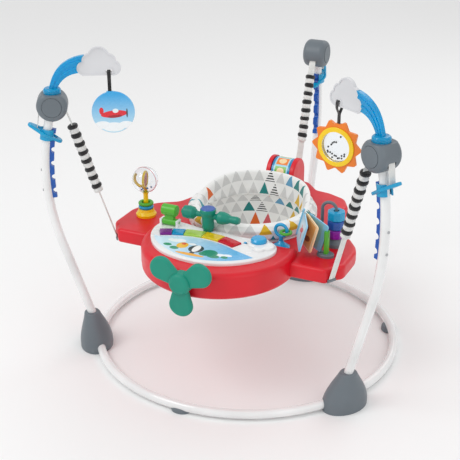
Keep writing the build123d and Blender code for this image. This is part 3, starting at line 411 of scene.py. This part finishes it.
M = {
    "steel_white": moulded("white_paint", "F2F3F3", 0.18, 0.06, 0.7, Coat_Roughness=0.06),
    "grey_plastic": moulded("slate_plastic", "6C757C", 0.42, 0.4),
    "blue_track": moulded("track_blue", "1259B4", 0.3, 0.2),
    "cyan_plastic": moulded("cyan_plastic", "009FD0", 0.25, 0.15, 0.2),
    "arm_blue": see_through("arm_blue", "10AEEB", 0.16, 0.35),
    "white_plastic": moulded("white_plastic", "F3F3F3", 0.24, 0.1, 0.4),
    "red_plastic": moulded("red_plastic", "DE0420", 0.36, 0.1),
    "webbing_white": woven("white_webbing", "EDEDEA", 0.0011),
    "webbing_black": woven("black_webbing", "1B1C1E", 0.0011),
    "sleeve_white": woven("sleeve_white", "F1F1EF"),
    "sleeve_black": woven("sleeve_black", "151517"),
    "spring_steel": metal("spring_steel", "9DA0A3"),
    "pin_steel": metal("pin_steel", "B4B6B9"),
    "orange_plastic": moulded("orange_plastic", "F5821F", 0.32, 0.15),
    "yellow_plastic": moulded("yellow_plastic", "FFD500", 0.28, 0.12, 0.2),
    "lime_plastic": moulded("lime_plastic", "52B52E", 0.33, 0.15),
    "green_plastic": moulded("green_plastic", "00917A", 0.5, 0.3),
    "teal_plastic": moulded("teal_plastic", "008A74", 0.4, 0.2),
    "key_purple": see_through("key_purple", "8E1AA0", 0.15, 0.25),
    "key_blue": see_through("key_blue", "12AAE6", 0.15, 0.25),
    "key_lime": see_through("key_lime", "C2EC62", 0.15, 0.25),
    "key_yellow": see_through("key_yellow", "FFDC00", 0.15, 0.25),
    "key_red": see_through("key_red", "E40F2C", 0.15, 0.25),
    "button_blue": moulded("button_blue", "0AA2DA", 0.2, 0.1, 0.4),
    "navy_plastic": moulded("navy_plastic", "1450A8", 0.28, 0.15, 0.2),
    "purple_plastic": moulded("purple_plastic", "8C0FA4", 0.28, 0.15, 0.2),
    "page_blue": moulded("page_blue", "BFE0EE", 0.45, 0.3),
    "page_orange": moulded("page_orange", "D98A48", 0.45, 0.3),
    "clear": clear("clear_plastic"),
    "print_sky": disc_print(),
    "seat_fabric": printed_cloth(),
    "ink_dark": moulded("dark_ink", "26282C", 0.4, 0.1),
    "wheel_red": moulded("wheel_red", "B3243A", 0.3, 0.1, 0.3),
}


# ---- Mesh helpers --------------------------------------------------------------------------------------
def piece(name, verts, faces, material, body=None, uvs=None, smooth=True, picks=None):
    """A mesh object in the row frame, with one (u, v) per face corner and one material number per face."""
    mesh = bpy.data.meshes.new(name)
    mesh.from_pydata([tuple(v) for v in verts], [], faces)
    for one in material if isinstance(material, (list, tuple)) else [material]:
        mesh.materials.append(one)
    if uvs is not None:
        layer = mesh.uv_layers.new(name="weave")
        layer.data.foreach_set("uv", np.array(uvs, np.float32).ravel())
    if picks is not None:
        mesh.polygons.foreach_set("material_index", picks)
    mesh.polygons.foreach_set("use_smooth", [smooth] * len(mesh.polygons))
    mesh.update()
    made = bpy.data.objects.new(name, mesh)
    bpy.context.scene.collection.objects.link(made)
    if body:
        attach(made, body)
    return made


def grid(rows, columns, point, close_rows=False, close_columns=True, uv=None, pick=None):
    """Vertices, faces, UVs and face picks of a surface point(row, column) over a grid."""
    verts = [point(i, j) for i in range(rows) for j in range(columns)]
    faces, uvs, picks = [], [], []
    for i in range(rows if close_rows else rows - 1):
        for j in range(columns if close_columns else columns - 1):
            a, b, c, d = (i, j), (i, j + 1), (i + 1, j + 1), (i + 1, j)
            faces.append([(r % rows) * columns + k % columns for r, k in (a, b, c, d)])
            if uv:
                uvs += [uv(*corner) for corner in (a, b, c, d)]
            if pick:
                picks.append(pick(i, j))
    return verts, faces, uvs or None, picks or None


def curve_through(points, count, closed=False):
    """Catmull-Rom samples through points given as vectors."""
    points = [Vector(p) for p in points]
    spans = len(points) if closed else len(points) - 1
    out = []
    for n in range(count):
        t = n * spans / (count if closed else count - 1)
        i = min(int(t), spans - 1)
        f = t - i
        if closed:
            p0, p1, p2, p3 = (points[(i + k) % len(points)] for k in (-1, 0, 1, 2))
        else:
            p0, p1, p2, p3 = (points[max(0, min(len(points) - 1, i + k))] for k in (-1, 0, 1, 2))
        out.append(0.5 * ((2 * p1) + (p2 - p0) * f + (2 * p0 - 5 * p1 + 4 * p2 - p3) * f * f
                          + (3 * p1 - p0 - 3 * p2 + p3) * f ** 3))
    return out


# Section of webbing with rounded selvedges, in shares of its width and thickness.
LOWER_HALF = [(-0.5, -0.2), (-0.46, -0.5), (0.46, -0.5), (0.5, -0.2)]
RIBBON = LOWER_HALF + [(-x, -y) for x, y in LOWER_HALF]


def end_caps(verts, faces, uvs, sides):
    """Close both ends of a run of sections with one face each."""
    faces.append(list(range(sides))[::-1])
    faces.append([len(verts) - sides + k for k in range(sides)])
    uvs += [(0, 0)] * (2 * sides)


def ribbon(name, path, across, width, thick, material):
    """Webbing along a path: a flat strip with rounded selvedges."""
    runs = [0.0]
    for a, b in zip(path, path[1:]):
        runs.append(runs[-1] + (b - a).length)

    def point(i, j):
        ahead = path[min(i + 1, len(path) - 1)] - path[max(i - 1, 0)]
        normal = across.cross(ahead).normalized()
        return path[i] + across * (RIBBON[j][0] * width) + normal * (RIBBON[j][1] * thick)

    def uv(i, j):
        return RIBBON[j % len(RIBBON)][0] * width, runs[i]

    verts, faces, uvs, _ = grid(len(path), len(RIBBON), point, uv=uv)
    end_caps(verts, faces, uvs, len(RIBBON))
    return piece(name, verts, faces, material, uvs=uvs, smooth=False)


TUBE_UV_STEP = 0.004


def tube(name, path, radius, material, closed=False, sides=12, body=None):
    """Round bar along a path of points."""
    count = len(path)

    def point(i, j):
        if closed:
            ahead = path[(i + 1) % count] - path[i - 1]
        else:
            ahead = path[min(i + 1, count - 1)] - path[max(i - 1, 0)]
        ahead.normalize()
        side = ahead.cross(UP if abs(ahead.z) < 0.95 else Vector((1, 0, 0))).normalized()
        turn = 2 * pi * j / sides
        return path[i] + side * (cos(turn) * radius) + side.cross(ahead) * (sin(turn) * radius)

    def uv(i, j):
        return j / sides * 2 * pi * radius, i * TUBE_UV_STEP

    verts, faces, uvs, _ = grid(count, sides, point, close_rows=closed, uv=uv)
    if not closed:
        end_caps(verts, faces, uvs, sides)
    return piece(name, verts, faces, material, body=body, uvs=uvs)


def lathe(name, profile, centre, material, body, sides=48, axis=UP):
    """Turn (radius, height) points about an axis through centre."""
    axis = axis.normalized()
    side = axis.cross(Vector((0.3, 0.9, 0.1))).normalized()
    other = axis.cross(side)

    def point(i, j):
        turn = 2 * pi * j / sides
        r, h = profile[i]
        return Vector(centre) + axis * h + side * (cos(turn) * r) + other * (sin(turn) * r)

    verts, faces, _, _ = grid(len(profile), sides, point)
    made = piece(name, verts, faces, material, body=body)
    weld = made.modifiers.new("weld", "WELD")
    weld.merge_threshold = 1e-6
    return made


def applied(made):
    """Turn a piece's modifiers into its mesh."""
    bpy.context.view_layer.update()
    depsgraph = bpy.context.evaluated_depsgraph_get()
    mesh = bpy.data.meshes.new_from_object(made.evaluated_get(depsgraph))
    made.modifiers.clear()
    made.data = mesh


# ---- CAD nodes that stay: better materials -------------------------------------------------------------
for entry in frame["record"]["subparts"]:
    node = nodes[entry["node"]]
    node.data.materials.clear()
    node.data.materials.append(M.get(entry["material_slot"], M["clear"]))
nodes["tail_drum"].data.materials[0] = drum_print()
nodes["clouds"].data.materials[0] = moulded("cloud_white", "DCDDE0", 0.35, 0.1)
nodes["picture_panel"].data.materials[0] = panel_print()
PAGES = {
    "book_cover": ("C9E3F2", "8FCBEA", "D8203A",
                   [(0.0, 0.004, 0.020, 0.007, 0.5), (0.002, 0.0, 0.005, 0.020, 0.5)]),
    "book_middle": ("EDA85C", "F6D2A2", "9A4F1E",
                    [(-0.008, 0.012, 0.013, 0.009), (0.010, -0.014, 0.016, 0.008, 0.4)]),
    "book_back": ("8CC7D2", "7FC4E6", "1F6B58",
                  [(0.0, 0.010, 0.018, 0.006, -0.7), (0.006, -0.016, 0.012, 0.006, 0.5)]),
}
for page, look in PAGES.items():
    nodes[page].data.materials[0] = leaf_print(page, *look)


def paint_solids(node, choose, materials):
    """Give the separate solids of one node their own materials, chosen from each face's centre."""
    mesh = nodes[node].data
    mesh.materials.clear()
    for material in materials:
        mesh.materials.append(material)
    mesh.polygons.foreach_set("material_index", [choose(face.center) for face in mesh.polygons])
    mesh.update()


SPINNER = middle("spinner_base")
RING_HEIGHTS = {1: 0.4092, 2: 0.4196}       # the two rings round the stem
RING_PATH, RING_WIRE = 0.017, 0.0052
CAP_Z = 0.4755                              # under the yoke's cap
CLIP_Z = 0.3905                             # under the book's clip


def spinner_part(point):
    """0 the base and stem, 1 the lower ring, 2 the upper ring."""
    reach = hypot(point.x - SPINNER.x, point.y - SPINNER.y)
    for number, z in RING_HEIGHTS.items():
        if abs(hypot(reach - RING_PATH, point.z - z) - RING_WIRE) < 0.0004:
            return number
    return 0


paint_solids("spinner_base", spinner_part, [M["yellow_plastic"], M["cyan_plastic"], M["lime_plastic"]])
paint_solids("yoke", lambda point: int(point.z > CAP_Z), [M["teal_plastic"], M["navy_plastic"]])
paint_solids("book_base", lambda point: int(point.z > CLIP_Z), [M["grey_plastic"], M["lime_plastic"]])


# ---- Suspension ----------------------------------------------------------------------------------------
BANDS = 8                           # pairs of one white and one black ring on a sleeve
BAND_ROWS = 14
SLEEVE_R = 0.0112                   # where the sleeve is drawn in between its rings
WHITE_SWELL, BLACK_SWELL = 0.0021, 0.0036
SLEEVE_END_R, SLEEVE_MOST_R = 0.0102, 0.0155


def sleeve(side, angle):
    """Gathered fabric tube over a spring: black rings stand out, white ones pull in between them."""
    low, high, axis, across, other = sleeve_frame(angle)
    length = (high - low).length
    sides = 56
    rows = BANDS * BAND_ROWS + 1
    sizes = [random.uniform(-0.0006, 0.0006) for _ in range(BANDS + 1)]
    phases = [random.uniform(0, 2 * pi) for _ in range(BANDS + 1)]

    def radius(i, turn):
        band, part = divmod(i / BAND_ROWS, 1)
        band = int(band)
        if part < 0.5:
            size = SLEEVE_R + WHITE_SWELL * sin(pi * part / 0.5)
            pleat = 0.00045 * sin(17 * turn + phases[band])
        else:
            size = SLEEVE_R + BLACK_SWELL * sin(pi * (part - 0.5) / 0.5) ** 0.55
            pleat = 0.00025 * sin(13 * turn + phases[band])
        wobble = 0.0004 * sin(3 * turn + 2 * phases[band])
        return min(size + pleat + wobble + sizes[band], SLEEVE_MOST_R)

    def point(i, j):
        turn = 2 * pi * j / sides
        tilt = 0.0008 * sin(turn + phases[min(int(i / BAND_ROWS), BANDS)])
        along = min(max(i / (rows - 1) * length + tilt, 0), length)
        size = radius(i, turn) if 0 < i < rows - 1 else SLEEVE_END_R
        return low + axis * along + across * (cos(turn) * size) + other * (sin(turn) * size)

    def uv(i, j):
        return 2 * pi * 0.014 * j / sides, i / rows * length * 1.6

    def pick(i, j):
        return int((i / BAND_ROWS) % 1 >= 0.5)

    verts, faces, uvs, picks = grid(rows, sides, point, uv=uv, pick=pick)
    end_caps(verts, faces, uvs, sides)
    picks += [0, 1]
    made = piece(f"sleeve_{side}", verts, faces, [M["sleeve_white"], M["sleeve_black"]], uvs=uvs, picks=picks)
    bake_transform(made)
    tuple(high)
    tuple(low)
    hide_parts("spring_sleeves")


# Radius and height, in a leg's plane, of the webbing's ends beyond the sleeve.
AT_INNER_PIN, AT_OUTER_PIN, AT_ADJUSTER = (0.5045, 0.750), (0.568, 0.750), (0.577, 0.686)
STRETCH_TOP, STRETCH_LOW = (0.572, 0.722), (0.577, 0.688)


def strap(name, angle, start, end, steps, replaced):
    """Straight webbing between two places in a leg's plane."""
    path = []
    for t in range(steps + 1):
        r = start[0] + (end[0] - start[0]) * t / steps
        z = start[1] + (end[1] - start[1]) * t / steps
        path.append(place(angle, r, z))
    made = ribbon(name, path, leg_side(angle), STRAP_W, STRAP_T, M["webbing_white"])
    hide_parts(replaced)
    return made


def straps(side, angle):
    """Webbing of one leg: tray to sleeve, sleeve to housing, and housing to adjuster."""
    into_sleeve = (strap_r(SLEEVE_LOW + TUCK), SLEEVE_LOW + TUCK)
    out_of_sleeve = (strap_r(SLEEVE_TOP - TUCK), SLEEVE_TOP - TUCK)
    lower = strap(f"lower_strap_{side}", angle, (STRAP_FOOT_R, STRAP_FOOT_Z), into_sleeve, 24, "lower_straps")
    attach(lower, "tray")
    inner = strap(f"height_strap_{side}", angle, AT_INNER_PIN, out_of_sleeve, 16, "height_straps")
    place(angle, *AT_INNER_PIN)
    place(angle, *out_of_sleeve)
    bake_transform(inner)
    outer = strap(f"adjuster_strap_{side}", angle, AT_OUTER_PIN, AT_ADJUSTER, 16, "height_straps")
    place(angle, *STRETCH_TOP)
    place(angle, *STRETCH_LOW)
    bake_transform(outer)


for side, angle in LEGS.items():
    sleeve(side, angle)
for side, angle in LEGS.items():
    straps(side, angle)

HANG_R = 0.377
HANG_W, HANG_T = 0.0098, 0.0013
# Half of the loop, from the toy up to the cloud's slot: distance from the middle, and height.
HALF_LOOP = [(0.0009, 0.7812), (0.0009, 0.794), (0.0010, 0.806), (0.0045, 0.8135), (0.0080, 0.8205),
             (0.0087, 0.829), (0.0087, 0.8355), (0.0062, 0.8377), (0.0030, 0.8386)]
LOOP_TOP = 0.8389


def hanging_loop(side, toy):
    """Narrow webbing looped through a cloud's slot, closed to a double web above the toy."""
    angle = LEGS[side]
    turns = HALF_LOOP + [(0.0, LOOP_TOP)] + [(-x, z) for x, z in reversed(HALF_LOOP)]
    path = curve_through([place(angle, HANG_R, z, x) for x, z in turns], 72)
    made = ribbon(f"{toy}_web", path, outward(angle), HANG_W, HANG_T, M["webbing_black"])
    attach(made, f"hanging_{toy}")
    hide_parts(f"{toy}_strap")


hanging_loop("left", "disc")
hanging_loop("right", "sun")


def ball_mesh(centre, radius, rows=12, columns=16):
    """Vertices and faces of a small ball."""
    def point(i, j):
        drop, turn = pi * (i + 0.5) / rows, 2 * pi * j / columns
        return Vector(centre) + Vector((sin(drop) * cos(turn), sin(drop) * sin(turn), cos(drop))) * radius

    verts, faces, _, _ = grid(rows, columns, point)
    faces += [list(range(columns)), [len(verts) - 1 - k for k in range(columns)]]
    return verts, faces


def balls(name, places, radius, material, body, rows=8, columns=12):
    """Many small balls as one piece."""
    verts, faces = [], []
    for centre in places:
        more, rings = ball_mesh(centre, radius, rows, columns)
        faces += [[k + len(verts) for k in ring] for ring in rings]
        verts += more
    return piece(name, verts, faces, material, body=body)


SUN = middle("sun_window")
SUN_TWIST = 20                      # degrees the sun is turned on its strap
sun_across = outward(LEGS["right"] + SUN_TWIST)
beads = []
for count, low_r, high_r, start, stop in ((13, 0.024, 0.034, 205, 330), (6, 0.006, 0.030, 60, 200)):
    for step in range(count):
        reach = random.uniform(low_r, high_r)
        turn = radians(start + (stop - start) * (step + random.uniform(0.2, 0.8)) / count)
        beads.append(SUN + sun_across * (reach * cos(turn)) + Vector((0, 0, reach * sin(turn))))
balls("sun_beads", beads, 0.0026, M["ink_dark"], "hanging_sun")

# ---- Spinner ball: clear shell, wheel, hoop, crescent and loose beads ----------------------------------
BALL = middle("spinner_ball")
BALL_R, BALL_WALL = 0.038, 0.0012
SIDEWAYS = Vector((1, 0.25, 0))
outside = [(BALL_R * sin(t), -BALL_R * cos(t)) for t in np.linspace(0.14, pi - 0.01, 40)]
inside = [(r * (1 - BALL_WALL / BALL_R), h * (1 - BALL_WALL / BALL_R)) for r, h in reversed(outside)]


def turned_in_ball(name, profile, material, axis):
    """A turned piece of the spinner ball, its profile closed back to its first point."""
    return lathe(name, profile + profile[:1], BALL, M[material], "spinner_ball", axis=axis)


shell = turned_in_ball("spinner_shell", outside + inside, "clear", UP)
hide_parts("spinner_ball")
seam = [(0.0381, -0.0007), (0.0386, 0), (0.0381, 0.0007), (0.0372, 0.0007), (0.0372, -0.0007)]
turned_in_ball("spinner_seam", seam, "red_plastic", Vector((0.1, 1, 0)))
wheel = [(0.0, -0.002), (0.018, -0.002), (0.0195, -0.001), (0.0195, 0.001), (0.018, 0.002), (0.0, 0.002)]
lathe("spinner_wheel", wheel, BALL, M["wheel_red"], "spinner_ball", axis=SIDEWAYS)
hoop = [(0.0205, -0.003), (0.0255, -0.003), (0.0265, -0.002), (0.0265, 0.002), (0.0255, 0.003),
        (0.0205, 0.003), (0.0198, 0.0)]
turned_in_ball("spinner_hoop", hoop, "yellow_plastic", SIDEWAYS)
CRESCENT_R = 0.021
crescent_middle = BALL + Vector((-0.012, -0.004, 0))
crescent = [crescent_middle + Vector((cos(t) * CRESCENT_R, 0, sin(t) * CRESCENT_R))
            for t in np.linspace(2.4, 4.9, 24)]
tube("spinner_crescent", crescent, 0.0042, M["yellow_plastic"], body="spinner_ball")
BEAD_SPREAD, BEAD_LOW, BEAD_HIGH = 0.014, -0.030, -0.024
loose = []
for _ in range(9):
    aside = random.uniform(-BEAD_SPREAD, BEAD_SPREAD)
    back = random.uniform(-BEAD_SPREAD, BEAD_SPREAD)
    loose.append(BALL + Vector((aside, back, random.uniform(BEAD_LOW, BEAD_HIGH))))
balls("spinner_beads", loose, 0.0028, M["cyan_plastic"], "spinner_ball")

# ---- Springs -------------------------------------------------------------------------------------------
COIL_R, WIRE_R = 0.0078, 0.0010
COIL_TURNS, COIL_STEPS = 26, 14
COIL_END = 0.006                    # bare length of sleeve beyond each end of the spring


def coil(side, angle):
    """Wound wire spring inside a sleeve."""
    low, high, axis, across, other = sleeve_frame(angle)
    length = (high - low).length
    path = []
    for n in range(COIL_TURNS * COIL_STEPS):
        spin = 2 * pi * n / COIL_STEPS
        rise = COIL_END + (length - 2 * COIL_END) * n / (COIL_TURNS * COIL_STEPS)
        path.append(low + axis * rise + across * (cos(spin) * COIL_R) + other * (sin(spin) * COIL_R))
    made = tube(f"spring_{side}", path, WIRE_R, M["spring_steel"], sides=6)
    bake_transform(made)
    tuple(high)
    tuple(low)
    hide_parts("springs")


for side, angle in LEGS.items():
    coil(side, angle)


# ---- Seat fabric ---------------------------------------------------------------------------------------
PAD_CREST, PAD_LIFT = 0.431, 0.034  # crest of the roll in front, and how much higher it stands at the back
PAD_FLAT = 0.010                    # how much the roll's back is drawn in
PAD_BASE = 0.3885
PAD_SEWN_Z = 0.3925                 # the cloth is held below this height
CREST = 5 / 12                      # the crest's share of the roll's outline, from its outer foot
PAD_PRINT_R = 0.16                  # radius at which the roll's print is true to size
GATHERS, GATHER_DEPTH = 46, 0.0009


def back_share(turn):
    """0 at the front of the seat, rising smoothly to 1 at its back."""
    t = min(max(sin(turn) + 0.15, 0), 1)
    return t * t * (3 - 2 * t)


def pad_section(turn, count):
    """Closed outline of the padded roll at one bearing, from the outer skirt over the crest to the inside."""
    lift = PAD_LIFT * back_share(turn)
    crest = PAD_CREST + lift
    flat = PAD_FLAT * back_share(turn)
    outer = [(0.1835, 0.389), (0.1865, 0.399), (0.1845 - flat * 0.4, 0.415),
             (0.1755 - flat * 0.5, 0.4255 + lift * 0.3), (0.1700 - flat * 0.3, 0.4285 + lift * 0.9)]
    inner = [(0.160, crest), (0.1500, crest - 0.005), (0.1435, 0.4105 + lift * 0.5),
             (0.1415, 0.396 + lift * 0.1)]
    under = [(0.146, PAD_BASE), (0.158, PAD_BASE), (0.171, PAD_BASE)]
    return curve_through([(r, z, 0) for r, z in outer + inner + under], count, closed=True)


def seat_pad():
    """Padded roll round the seat's opening, puffed up as cloth and gathered at its foot."""
    turns, around = 200, 56
    sections = [pad_section(2 * pi * i / turns, around) for i in range(turns)]
    lengths = []
    for section in sections:
        run = [0.0]
        for a, b in zip(section, section[1:] + section[:1]):
            run.append(run[-1] + (b - a).length)
        lengths.append(run)

    def point(i, j):
        turn = 2 * pi * i / turns
        r, z, _ = sections[i][j]
        r += GATHER_DEPTH * sin(GATHERS * turn) * max(0, 1 - abs(z - 0.392) / 0.02)
        return Vector((SEAT_X + r * cos(turn), SEAT_Y + r * sin(turn), z))

    def uv(i, j):
        run = lengths[i % turns]
        return PAD_PRINT_R * 2 * pi * i / turns, -abs(run[j] - run[round(around * CREST)])

    verts, faces, uvs, _ = grid(turns, around, point, close_rows=True, uv=uv)
    made = piece("padded_seat", verts, faces, M["seat_fabric"], uvs=uvs)
    inflate(made, pinned=lambda p: p.z < PAD_SEWN_Z, pressure=3.0, cap=0.004)
    smooth = made.modifiers.new("smooth", "SUBSURF")
    smooth.levels = smooth.render_levels = 1
    applied(made)
    hold_inside(made)
    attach(made, "seat")
    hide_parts("seat_pad")


def inflate(made, pinned, pressure, cap, frames=16):
    """Cloth simulation with pressure and no gravity; the result is kept, no point moving more than cap."""
    start = np.array([v.co for v in made.data.vertices])
    group = made.vertex_groups.new(name="pin")
    group.add([v.index for v in made.data.vertices if pinned(v.co)], 1.0, "REPLACE")
    cloth = made.modifiers.new("cloth", "CLOTH")
    cloth.settings.quality = 5
    cloth.settings.mass = 0.3
    cloth.settings.tension_stiffness = 30
    cloth.settings.compression_stiffness = 12
    cloth.settings.bending_stiffness = 2
    cloth.settings.shrink_min = -0.03
    cloth.settings.vertex_group_mass = "pin"
    cloth.settings.use_pressure = True
    cloth.settings.uniform_pressure_force = pressure
    cloth.settings.effector_weights.gravity = 0
    cloth.point_cache.frame_start, cloth.point_cache.frame_end = 1, frames
    for number in range(1, frames + 1):
        bpy.context.scene.frame_set(number)
    depsgraph = bpy.context.evaluated_depsgraph_get()
    done = made.evaluated_get(depsgraph).data
    end = np.array([v.co for v in done.vertices])
    move = end - start
    size = np.linalg.norm(move, axis=1, keepdims=True)
    move *= np.minimum(1, cap / np.maximum(size, 1e-9))
    made.modifiers.clear()
    made.data.vertices.foreach_set("co", (start + move).astype(np.float32).ravel())
    made.data.update()
    bpy.context.scene.frame_set(1)


ROOM_R, SHOULDER_R = 0.1872, 0.1665     # room for the swivelling seat below and above the tray's rim
SHOULDER_Z, SHOULDER_SLOPE = 0.43, 3.0


def hold_inside(made):
    """Keep the seat's fabric within the room in which the seat swivels."""
    for vertex in made.data.vertices:
        x, y, z = vertex.co
        reach = hypot(x - SEAT_X, y - SEAT_Y)
        limit = ROOM_R if z < SHOULDER_Z else max(SHOULDER_R, ROOM_R - (z - SHOULDER_Z) * SHOULDER_SLOPE)
        if reach > limit:
            scale = limit / reach
            vertex.co.x = SEAT_X + (x - SEAT_X) * scale
            vertex.co.y = SEAT_Y + (y - SEAT_Y) * scale


# Radius and height of the sling, from its rim down to the middle of its bottom.
BOWL = [(0.1475, 0.392), (0.1482, 0.372), (0.1475, 0.341), (0.140, 0.300), (0.1255, 0.261), (0.104, 0.228),
        (0.076, 0.206), (0.040, 0.195), (0.004, 0.192)]
CLOTH_T = 0.003
SLING_PRINT_R, SLING_ROW = 0.135, 0.0065    # radius and row height at which the sling's print is true to size
HOLE_X, HOLE_Z = 0.062, 0.262               # middle of a leg hole, seen from the front
HOLE_WIDE, HOLE_TALL = 0.044, 0.050         # half its size
HOLE_STEPS = 48


def bowl_radius(z):
    for (r0, z0), (r1, z1) in zip(BOWL, BOWL[1:]):
        if z1 <= z <= z0:
            return r0 + (r1 - r0) * (z0 - z) / (z0 - z1)
    return BOWL[0][0]


def hole_outline(side, steps):
    """Ellipse of a leg hole, as (x from the seat's middle, z)."""
    return [(side * HOLE_X + HOLE_WIDE * cos(t), HOLE_Z + HOLE_TALL * sin(t))
            for t in np.linspace(0, 2 * pi, steps, endpoint=False)]


def hole_cutter(side):
    """Bar through the front of the bowl, which cuts a leg hole."""
    ring = hole_outline(side, HOLE_STEPS)
    ends = [Vector((SEAT_X + x, SEAT_Y + y, z)) for y in (-0.03, -0.3) for x, z in ring]
    walls = []
    for k in range(HOLE_STEPS):
        after = (k + 1) % HOLE_STEPS
        walls.append([k, after, HOLE_STEPS + after, HOLE_STEPS + k])
    caps = [list(range(HOLE_STEPS))[::-1], list(range(HOLE_STEPS, 2 * HOLE_STEPS))]
    return piece(f"cutter_{side}", ends, walls + caps, M["ink_dark"])


def leg_binding(side, word):
    """Round binding sewn along the edge of a leg hole."""
    path = []
    for x, z in hole_outline(side, 72):
        r = bowl_radius(z) - CLOTH_T / 2
        path.append(Vector((SEAT_X + x, SEAT_Y - sqrt(max(r * r - x * x, 1e-6)), z)))
    tube(f"leg_binding_{word}", path, 0.0032, M["sleeve_white"], closed=True, body="seat")


def seat_sling():
    """Hanging bowl of doubled cloth with two leg holes in front."""
    turns, rows = 144, 46
    outer = curve_through([(r, z, 0) for r, z in BOWL], rows)

    def point(i, j):
        turn = 2 * pi * j / turns
        r, z, _ = outer[i]
        droop = sin(pi * i / rows)
        r += 0.0016 * sin(4 * turn + 0.6) * droop + 0.0007 * sin(23 * turn + i * 0.25) * droop - CLOTH_T / 2
        return Vector((SEAT_X + r * cos(turn), SEAT_Y + r * sin(turn), z))

    def uv(i, j):
        return SLING_PRINT_R * 2 * pi * j / turns, -i * SLING_ROW

    verts, faces, uvs, _ = grid(rows, turns, point, uv=uv)
    made = piece("seat_sling_cloth", verts, faces, M["seat_fabric"], uvs=uvs)
    thick = made.modifiers.new("thick", "SOLIDIFY")
    thick.thickness = CLOTH_T
    thick.offset = 0
    cutters = [hole_cutter(side) for side in (-1, 1)]
    for cutter in cutters:
        cut = made.modifiers.new("hole", "BOOLEAN")
        cut.object = cutter
        cut.solver = "EXACT"
    applied(made)
    for cutter in cutters:
        bpy.data.objects.remove(cutter)
    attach(made, "seat")
    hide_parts("seat_sling")


seat_pad()
seat_sling()
leg_binding(-1, "left")
leg_binding(1, "right")

# ---- Floor, light and camera ---------------------------------------------------------------------------
FLOOR_HALF = 6
paper = Shader("floor_paper")
paper.set(Base_Color=linear("F6F6F6"), Roughness=0.75)
paper.bump(paper.noise(600, 2), 0.02, 0.0001)
corners = [(x * FLOOR_HALF, y * FLOOR_HALF, 0) for x, y in ((-1, -1), (1, -1), (1, 1), (-1, 1))]
floor = piece("floor", corners, [[0, 1, 2, 3]], paper.material)

bpy.context.scene.view_settings.view_transform = "Standard"
world = bpy.data.worlds.new("studio")
world.use_nodes = True
sky = world.node_tree.nodes["Background"]
sky.inputs["Color"].default_value = (1, 1, 1, 1)
sky.inputs["Strength"].default_value = 0.78
bpy.context.scene.world = world

AIM = Vector((0, 0, 0.4))           # what the lamps face


def softbox(name, at, size, power):
    """Square area lamp turned towards the object."""
    data = bpy.data.lights.new(name, "AREA")
    data.shape = "SQUARE"
    data.size = size
    data.energy = power
    lamp = bpy.data.objects.new(name, data)
    lamp.location = at
    lamp.rotation_euler = (AIM - Vector(at)).to_track_quat("-Z", "Y").to_euler()
    bpy.context.scene.collection.objects.link(lamp)


softbox("key_light", (-1.8, -2.2, 3.4), 1.8, 42)
softbox("fill_light", (2.8, -1.6, 2.2), 2.4, 12)
softbox("back_light", (0.6, 2.6, 2.6), 2.0, 14)

CAMERA_AT = (1.1146, -2.5298 + RING_Y, 1.6092)
CAMERA_FORWARD = Vector((-0.38228, 0.82624, -0.41376))
camera_data = bpy.data.cameras.new("camera")
camera_data.lens = 81.95
camera_data.sensor_width = 36
camera = bpy.data.objects.new("camera", camera_data)
camera.location = CAMERA_AT
camera.rotation_euler = CAMERA_FORWARD.to_track_quat("-Z", "Y").to_euler()
bpy.context.scene.collection.objects.link(camera)
bpy.context.scene.camera = camera
